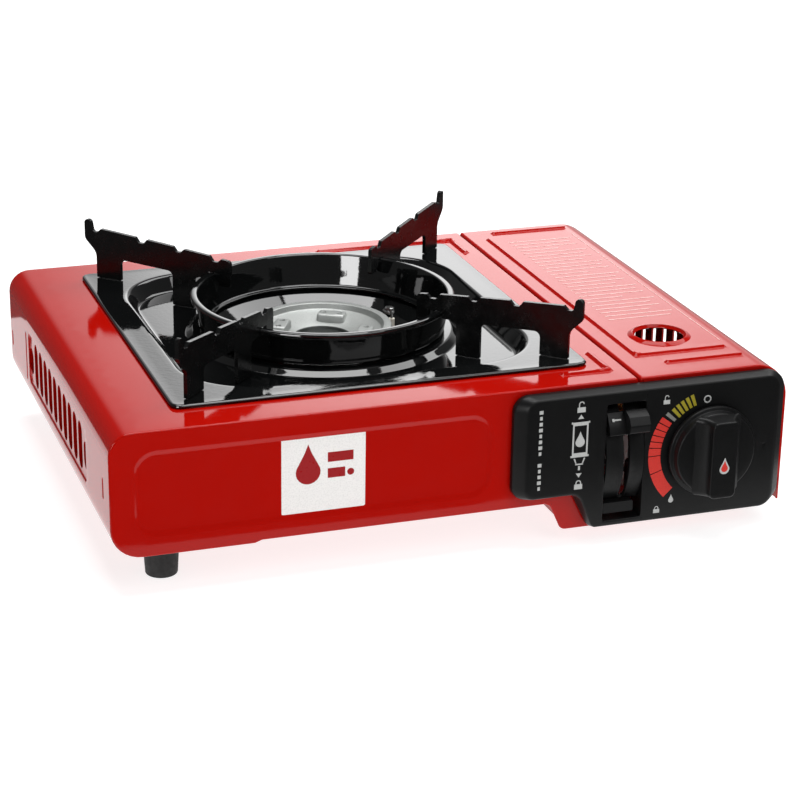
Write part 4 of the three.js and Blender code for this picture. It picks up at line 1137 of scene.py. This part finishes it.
def burner_fixings():
    """Hexagon screws on the tray's sloping collar, and the ring below it that they hold."""
    seat = ANNULUS_TOP - 5.2
    for k, angle in enumerate((30, 150, 270)):
        a = math.radians(angle)
        centre = Vector((BURNER.x + 52 * math.cos(a), BURNER.y + 52 * math.sin(a), 0))
        shell = Shell()
        head = [(0.01, seat + 2.2), (2.2, seat + 2.2), (2.7, seat + 1.8), (2.7, seat)]
        washer = [(2.6, seat + 0.7), (3.4, seat + 0.6), (3.6, seat + 0.3), (3.6, seat - 0.9)]
        shell.turn(head, centre, "Z", 6)
        shell.turn(washer, centre, "Z", 32)
        below = (centre.x, centre.y, seat - 9)
        obj = shell.make(f"burner_screw_head_{k + 1}", STEEL, away_from=below, sharp=30)
        finish_piece(obj, "stove_body", "bare_steel", f"burner_screw_{k + 1}")
    low, high = ANNULUS_TOP - 11.6, ANNULUS_TOP - 10.4
    ring = [(45.4, low), (53, low), (53, high), (45.4, high), (45.4, low)]
    shell = Shell()
    shell.turn(ring, BURNER, "Z", 96)
    obj = shell.make("burner_bracket_ring", DARK_IRON_AND_PAINTED_SHADE, away_from=(BURNER.x, BURNER.y, low - 200), sharp=30)
    finish_piece(obj, "stove_body", "bare_steel", "burner_bracket")


# ---------------------------------------------------------------- control panel

CHANNEL = {
    "left": guide_low.x - 0.3,
    "right": guide_high.x + 0.3,
    "low": panel_low.z + 4.0,
    "high": guide_high.z + 0.3,
}
PANEL_DEPTH = PANEL_BACK - PANEL_FACE
LEVER_START = 29.0  # degrees above level at rest
DRUM_R = 37.5


def panel_ring(side, edge, depth):
    """The panel's outline drawn in by side at its ends and by edge at its top and bottom."""
    left, right = panel_low.x + side, panel_high.x - 1.2 - side
    low, high = panel_low.z + edge, panel_high.z - edge
    step_x = CHANNEL["left"] - 5.5
    corners = [
        (left, low + 18.5, 7 - side * 0.4),
        (step_x - 9 + side * 0.3, low + 18.5, 5 + side * 0.3),
        (step_x + edge * 0.3, low, 3),
        (right, low, 10 - side * 0.6),
        (right, high, 10 - side * 0.6),
        (left, high, 8 - side * 0.4),
    ]
    samples = path(corners, step=1000, arc_steps=8)
    return [(x, PANEL_BACK - depth, z) for x, z, nx, nz in samples]


def control_panel():
    shell = Shell()
    levels = [
        (1.5, 1.5, 0.2),
        (0.2, 0.2, 0.2),
        (0, 0, 0.5),
        (0, 0, 2.6),
        (0.5, 0.1, 3.4),
        (4.6, 1.0, 6.9),
        (5.3, 1.3, 7.35),
        (6.1, 1.8, 7.62),
        (7.1, 2.6, PANEL_DEPTH),
    ]
    rows = [panel_ring(*level) for level in levels]
    shell.loft(rows, closed=True)
    c = CHANNEL
    x, z = (c["left"] + c["right"]) / 2, (c["low"] + c["high"]) / 2
    mouth = rounded_box(x, z, c["right"] - c["left"], c["high"] - c["low"], 1.2, step=4, arc_steps=4)
    edge = offset(mouth, -0.7)
    bore = circle(KNOB.x, KNOB.z, 6.0, 40)
    groove_x = c["right"] + 0.2
    grooves = [
        ((groove_x, c["high"] + 1.5), (groove_x, panel_high.z - 3.4)),
        ((groove_x, c["low"] - 1.5), (groove_x, panel_low.z + 3.4)),
    ]
    dimple = (panel_high.x - 13, KNOB.z - 1.3)
    creases = [stadium(a, b, r, 1.5) for r in (0.55, 0.28) for a, b in grooves]
    creases += [circle(*dimple, r, 16) for r in (0.6, 1.1)]

    def place(points):
        depth = bead_height(points, grooves, 0.55, 0.5)
        depth += 0.6 * smooth((1.1 - np.linalg.norm(points - np.array(dimple), axis=1)) / 0.6)
        return [(p[0], PANEL_FACE + d, p[1]) for p, d in zip(points, depth)]

    shell.fill(region([(x, z) for x, y, z in rows[-1]], (edge, bore), creases, 6.0), place)
    rows = []
    for inset, depth in ((-0.7, 0), (-0.3, 0.12), (-0.08, 0.4), (0, 0.8), (0, PANEL_DEPTH + 4)):
        rows.append([(px, PANEL_FACE + depth, pz) for px, pz in offset(mouth, inset)])
    shell.loft(rows, closed=True)
    shell.loft([[(px, PANEL_FACE + depth, pz) for px, pz in bore] for depth in (0, 3.0)], closed=True)
    middle = (KNOB.x - 25, PANEL_BACK + 5, KNOB.z)
    obj = shell.make("control_panel_moulding", PLASTIC, away_from=middle, sharp=50, even=True)
    finish_piece(obj, "stove_body", "black_plastic", "control_panel")


def lever_drum():
    """The slotted drum that the lever's arm runs in, seen through the channel."""
    low, high = (math.degrees(math.asin((z - PIVOT.z) / DRUM_R)) for z in (21, CHANNEL["high"] - 0.6))
    x0, x1 = guide_low.x, guide_high.x
    slot_x = (x0 + x1) / 2 + 0.6
    scale = math.pi / 180 * DRUM_R
    outline = frame_loop(steps_between(x0, x1, 2.5), steps_between(low * scale, high * scale, 2.5))
    ends = ((slot_x, (low + 4) * scale), (slot_x, (high - 4) * scale))
    slot = stadium(*ends, 1.6, 2.0)
    rims = [stadium(*ends, r, 2.0) for r in (2.0, 2.6)]

    def place(points):
        lift = 0.5 * smooth(2.8 - line_distance(points, *ends))
        out = []
        for (x, s), h in zip(points, lift):
            angle = s / DRUM_R
            radius = DRUM_R - 0.5 + h
            out.append((x, PIVOT.y - radius * math.cos(angle), PIVOT.z + radius * math.sin(angle)))
        return out

    shell = Shell()
    shell.fill(region(outline, (slot,), rims, 2.5), place)
    obj = shell.make("lever_drum", DARK_PLASTIC, away_from=PIVOT, thickness=1.6)
    finish_piece(obj, "stove_body", "black_plastic", "lever_guide")


def lever_ledge():
    """The flat ledge at the channel's foot."""
    x, z = (guide_low.x + guide_high.x) / 2 - 1.8, guide_low.z + 2.7
    outline = offset(rounded_box(x, z, guide_high.x - guide_low.x - 3.6, 5.4, 0.8), 0)
    ledge = plate(outline, PANEL_FACE + 1.2, FRONT - 2.2, "Y")
    obj = ledge.make("lever_ledge", DARK_PLASTIC, bevel=0.3)
    finish_piece(obj, "stove_body", "black_plastic")


# ---------------------------------------------------------------- knob


def control_knob():
    back, face = knob_low.y + 15.8, knob_low.y + 0.15  # the printed mark stands proud of the face
    flange_r = (knob_high.x - knob_low.x) / 2
    disc = path(
        [
            (3.4, back, 0),
            (flange_r, back, 0.6),
            (flange_r, back - 2.2, 0.8),
            (21.2, back - 2.8, 0.4),
            (20.6, back - 6.4, 1.0),
            (0.01, back - 7.2, 0),
        ],
        closed=False,
        step=3,
        arc_steps=5,
    )
    shell = Shell()
    shell.turn([(r, y) for r, y, nx, ny in disc], KNOB, "Y", 96)
    obj = shell.make("knob_disc", PLASTIC, away_from=(KNOB.x, back - 3, KNOB.z), sharp=50)
    finish_piece(obj, "knob", "black_plastic", "control_knob")

    shell = Shell()
    rows = []
    depth = back - 6.6 - face
    for k in range(9):
        t = k / 8
        half_width = 6.8 + 5.4 * (1 - t) ** 2.2
        half_height = 19.6 + 0.6 * (1 - t)
        outline = rounded_box(KNOB.x, KNOB.z, 2 * half_width, 2 * half_height, 2.6, step=100, arc_steps=6)
        rows.append([(x, back - 6.6 - (depth - 0.8) * t, z) for x, z in offset(outline, 0)])
    for inset, rise in ((0.12, 0.4), (0.4, 0.68), (0.9, 0.8)):
        rows.append([(x, face + 0.8 - rise, z) for x, z in offset(outline, inset)])
    shell.loft(rows, closed=True)
    cap = [(x, z) for x, y, z in rows[-1]]
    shell.fill(region(cap, (), (), 400), lambda points: [(x, face, z) for x, z in points])
    obj = shell.make("knob_grip", PLASTIC, away_from=(KNOB.x, back, KNOB.z), sharp=50, even=True)
    finish_piece(obj, "knob", "black_plastic")


# ---------------------------------------------------------------- lever tab


def on_drum(radius, degrees):
    """The y and z of a point at an angle round the lever's pivot."""
    angle = math.radians(LEVER_START + degrees)
    return (PIVOT.y - radius * math.cos(angle), PIVOT.z + radius * math.sin(angle))


def lever_tab():
    """The lever's finger tab: a curved shoe on the drum with a raised block on its right."""
    shoe = ((38.7, -8, 0.4), (41.6, -8, 0.8), (42.3, 0, 20), (41.6, 8.5, 0.8), (38.7, 8.5, 0.4))
    block = (
        (39.5, -7.6, 0.4),
        (46.2, -7.6, 1.2),
        (48.4, -3.8, 1.4),
        (48.3, 1.5, 1.0),
        (45.5, 7.2, 1.2),
        (39.5, 7.8, 0.4),
    )
    pieces = (
        ("lever_shoe", shoe, tab_low.x, tab_high.x - 0.2, ("lever_tab",)),
        ("lever_finger_block", block, tab_low.x + 8.2, tab_high.x, ()),
    )
    for name, shape, left, right, replaced in pieces:
        corners = [(*on_drum(radius, degrees), corner) for radius, degrees, corner in reversed(shape)]
        outline = offset(path(corners, step=2.0, arc_steps=4), 0)
        obj = plate(outline, left, right, "X").make(name, PLASTIC, bevel=0.5)
        finish_piece(obj, "lever", "black_plastic", *replaced)
    shell = Shell()
    left, lift = tab_low.x + 1.6, 42.5
    for width, start, end in ((1.1, 1.2, 3.2), (4.6, 1.7, 2.7)):
        edges = (on_drum(lift, start), on_drum(lift, end))
        shell.loft([[(x, y, z) for x in (left, left + width)] for y, z in edges])
    obj = shell.make("lever_mark", WHITE_INK, smooth=False, away_from=PIVOT, thickness=0.1)
    finish_piece(obj, "lever", "black_plastic")


# ---------------------------------------------------------------- printed marks


def print_mark(name, loops, y, material, body, slot, thickness=0.12, holes=()):
    """Flat printed shapes on a face that looks forward. loops are outlines in x, z."""
    shell = Shell()
    for k, loop in enumerate(loops):
        part = plate(loop, y, y + thickness, "Y", holes[k] if k < len(holes) else ())
        shell.add(part.points, part.faces)
    obj = shell.make(name, material, smooth=False)
    return finish_piece(obj, body, slot)


def bar(x0, z0, x1, z1):
    return [(x0, z0), (x1, z0), (x1, z1), (x0, z1)]


def sector(start, end, inner, outer):
    """Part of a band round the knob; angles run anticlockwise from the top, in degrees."""
    steps = max(2, round((end - start) / 3))
    angles = [math.radians(90 + start + (end - start) * k / steps) for k in range(steps + 1)]
    loop = [(KNOB.x + outer * math.cos(a), KNOB.z + outer * math.sin(a)) for a in angles]
    loop += [(KNOB.x + inner * math.cos(a), KNOB.z + inner * math.sin(a)) for a in reversed(angles)]
    return loop


def flame(x, z, size):
    """A drop-shaped flame, size high."""
    r = size * 0.3
    loop = []
    for k in range(17):
        angle = math.radians(-215 + 250 * k / 16)
        loop.append((x + r * math.cos(angle), z - size / 2 + r + r * math.sin(angle)))
    loop.append((x + r * 0.28, z + size * 0.28))
    loop.append((x, z + size / 2))
    loop.append((x - r * 0.28, z + size * 0.28))
    return loop


def padlock(x, z, size, open_by):
    """Loops of a padlock pictogram: its body and its shackle, lifted when open."""
    body = bar(x - size / 2, z - size / 2, x + size / 2, z + size * 0.12)
    base = z + size * 0.12
    outer, inner = size * 0.34, size * 0.22
    angles = [math.pi * k / 8 for k in range(9)]
    top = base + size * 0.16 + open_by
    arch = [(x + outer * math.cos(a), top + outer * math.sin(a)) for a in angles]
    arch.append((x - outer, base + 0.02))
    arch.append((x - inner, base + 0.02))
    arch += [(x + inner * math.cos(a), top + inner * math.sin(a)) for a in reversed(angles)]
    if open_by == 0:
        arch.append((x + inner, base + 0.02))
        arch.append((x + outer, base + 0.02))
    return [body, arch]


def panel_marks():
    """Pictograms beside the lever's channel, and the flame dial round the knob."""

    def mark(name, loops, material=WHITE_INK, holes=()):
        print_mark(name, loops, PANEL_FACE - 0.1, material, "stove_body", "black_plastic", holes=holes)

    x = panel_low.x + 12
    dashes = []
    for k in range(14):
        z = 73 - 3.0 * k
        width = (1.9, 1.3, 1.6)[k % 3]
        if k != 8:
            dashes.append(bar(x - width / 2, z - 0.9, x + width / 2, z + 0.9))
    mark("mark_column", dashes)

    x = 56.5
    mark("mark_canister", [bar(x - 4, 48, x + 4, 66)], holes=((bar(x - 3.2, 50.2, x + 3.2, 64.2),),))
    rims = []
    for z in (65.2, 48):
        rims += [bar(x - 4.7, z, x - 4.05, z + 1), bar(x + 4.05, z, x + 4.7, z + 1)]
    mark("mark_canister_rims", rims)
    neck = [
        [(x - 3, 47.4), (x - 2, 44.8), (x - 1.4, 44.8), (x - 2.3, 47.4)],
        [(x + 2.3, 47.4), (x + 1.4, 44.8), (x + 2, 44.8), (x + 3, 47.4)],
        bar(x - 2, 44.0, x + 2, 44.6),
        bar(x - 0.5, 41.2, x + 0.5, 43.4),
    ]
    mark("mark_nozzle", neck)
    mark("mark_canister_flame", [flame(x, 57.2, 8)])
    up = [(x - 1.5, 67.6), (x + 1.5, 67.6), (x, 69.8)]
    down = [(x - 1.5, 39.6), (x, 37.4), (x + 1.5, 39.6)]
    mark("mark_arrows", [up, down])
    mark("mark_unlocked", padlock(x, 73, 4.2, 0.9))
    mark("mark_locked", padlock(x, 33.4, 4.2, 0))

    inner, outer = 26.3, 32.7
    ticks = [sector(19.5 + 5.3 * k, 22.8 + 5.3 * k, inner - 1.2, outer - 1.5) for k in range(5)]
    mark("dial_yellow", ticks, YELLOW_INK)
    mark("dial_grey", [sector(47.2, 50.6, inner - 0.6, outer - 0.7)], GREY_INK)
    blocks = []
    start = 53.5
    for width in (6, 6, 6, 6, 6, 8, 17, 26.5):
        blocks.append(sector(start, start + width - 0.9, inner, outer))
        start += width
    mark("dial_red", blocks, RED_INK)
    off = (KNOB.x - 2.8, KNOB.z + 26.2)
    mark("mark_off", [circle(*off, 2.0, 28)], holes=((circle(*off, 1.35, 28),),))
    mark("mark_release", padlock(KNOB.x - 24.5, KNOB.z + 27.6, 3.4, 0.8))
    mark("mark_large_flame", [flame(KNOB.x - 19.3, KNOB.z - 24.0, 4.4)])
    mark("mark_lock", padlock(KNOB.x - 26.8, KNOB.z - 29.2, 3.2, 0))


def knob_marks():
    """The flame on the knob's grip."""
    face, z, slot = knob_low.y + 0.07, KNOB.z - 2.5, "black_plastic"
    print_mark("knob_flame_outline", [flame(KNOB.x, z, 8.6)], face, WHITE_INK, "knob", slot, 0.1)
    print_mark("knob_flame", [flame(KNOB.x, z - 0.25, 5.8)], face - 0.05, RED_INK, "knob", slot, 0.1)


def sticker():
    """A plain square label with a generic flame and bar."""
    x, z, half = -68.6, 52.0, 20.4
    y = FRONT + RECESS["depth"] - 0.12
    square = offset(rounded_box(x, z, 2 * half, 2 * half * 0.96, 0.8, step=20), 0)
    print_mark("label_white", [square], y, STICKER_WHITE, "stove_body", "red_paint", 0.1)
    y -= 0.05
    motif = [
        flame(x - 7.5, z + 4.5, 20),
        bar(x + 2, z + 4.6, x + 14.5, z + 9.4),
        bar(x + 2, z - 3.4, x + 10.5, z + 1.4),
        circle(x + 13.2, z - 1.4, 1.7, 24),
    ]
    print_mark("label_motif", motif, y, STICKER_RED, "stove_body", "red_paint", 0.1)


def lid_bars():
    """Faint printed lines on the lid, in place of lettering."""
    shell = Shell()
    low, high = DECK + 0.02, DECK + 0.08
    lengths = (1.0, 0.92, 0.97, 0.6, 1.0, 0.88, 0.95, 0.75)
    x0, x1 = LID_START + 20, LID_START + 58
    count = 26
    for k in range(count):
        y = MIDDLE_Y + 98 - 5.6 * k
        end = x0 + (x1 - x0) * lengths[k % len(lengths)]
        part = plate(bar(x0, y - 0.45, end, y + 0.45), low, high, "Z")
        shell.add(part.points, part.faces)
    x = LID_START + 61.2
    part = plate(bar(x - 0.2, MIDDLE_Y - 86, x + 0.2, MIDDLE_Y + 104), low, high, "Z")
    shell.add(part.points, part.faces)
    obj = shell.make("lid_print", LID_INK, smooth=False)
    finish_piece(obj, "canister_lid", "red_paint")


# ---------------------------------------------------------------- feet


def feet():
    for name in ("front_left", "back_left", "front_right", "back_right"):
        low, high = box_mm(f"foot_{name}")
        centre = (low + high) / 2
        radius = (high.x - low.x) / 2
        profile = path(
            [
                (3.6, 3.0, 0),
                (3.6, 0.0, 0.3),
                (radius - 1.3, 0.0, 1.0),
                (radius, high.z, 0.6),
                (1.9, high.z, 0),
            ],
            closed=False,
            step=4.0,
            arc_steps=5,
        )
        shell = Shell()
        shell.turn([(r, h) for r, h, nx, ny in profile] + [(1.9, 3.0), (3.6, 3.0)], centre, "Z", 48)
        obj = shell.make(f"foot_{name}_rubber", RUBBER, away_from=(centre.x, centre.y, high.z / 2), sharp=50)
        finish_piece(obj, "stove_body", "rubber", f"foot_{name}")


# ---------------------------------------------------------------- what stays as the frame has it


def dress_frame_nodes():
    """Every frame node that still shows gets its real finish and softened edges."""
    finishes = {
        "red_paint": RED_INSIDE,
        "black_enamel": ENAMEL,
        "black_plastic": PLASTIC,
        "cast_aluminium": ALUMINIUM,
        "bare_steel": STEEL,
        "brass": BRASS,
        "rubber": RUBBER,
        "ceramic": CERAMIC,
    }
    slots = {s["node"]: s["material_slot"] for s in frame["record"]["subparts"]}
    for name, node in frame["nodes"].items():
        node.data.materials.clear()
        node.data.materials.append(finishes[slots[name]])
        soften = node.modifiers.new("soft_edges", "BEVEL")
        soften.width = 0.0002
        soften.segments = 2
        soften.limit_method = "ANGLE"
        soften.angle_limit = math.radians(50)


make_camera()
make_world()
make_floor()
make_lights()
dress_frame_nodes()
body_shell()
canister_lid()
lid_knuckles()
drip_tray()
pan_support_ring()
pan_support_arms()
burner_cap()
burner_ports()
burner_well_painted_shade()
burner_fixings()
control_panel()
lever_drum()
lever_ledge()
control_knob()
lever_tab()
panel_marks()
knob_marks()
sticker()
lid_bars()
feet()
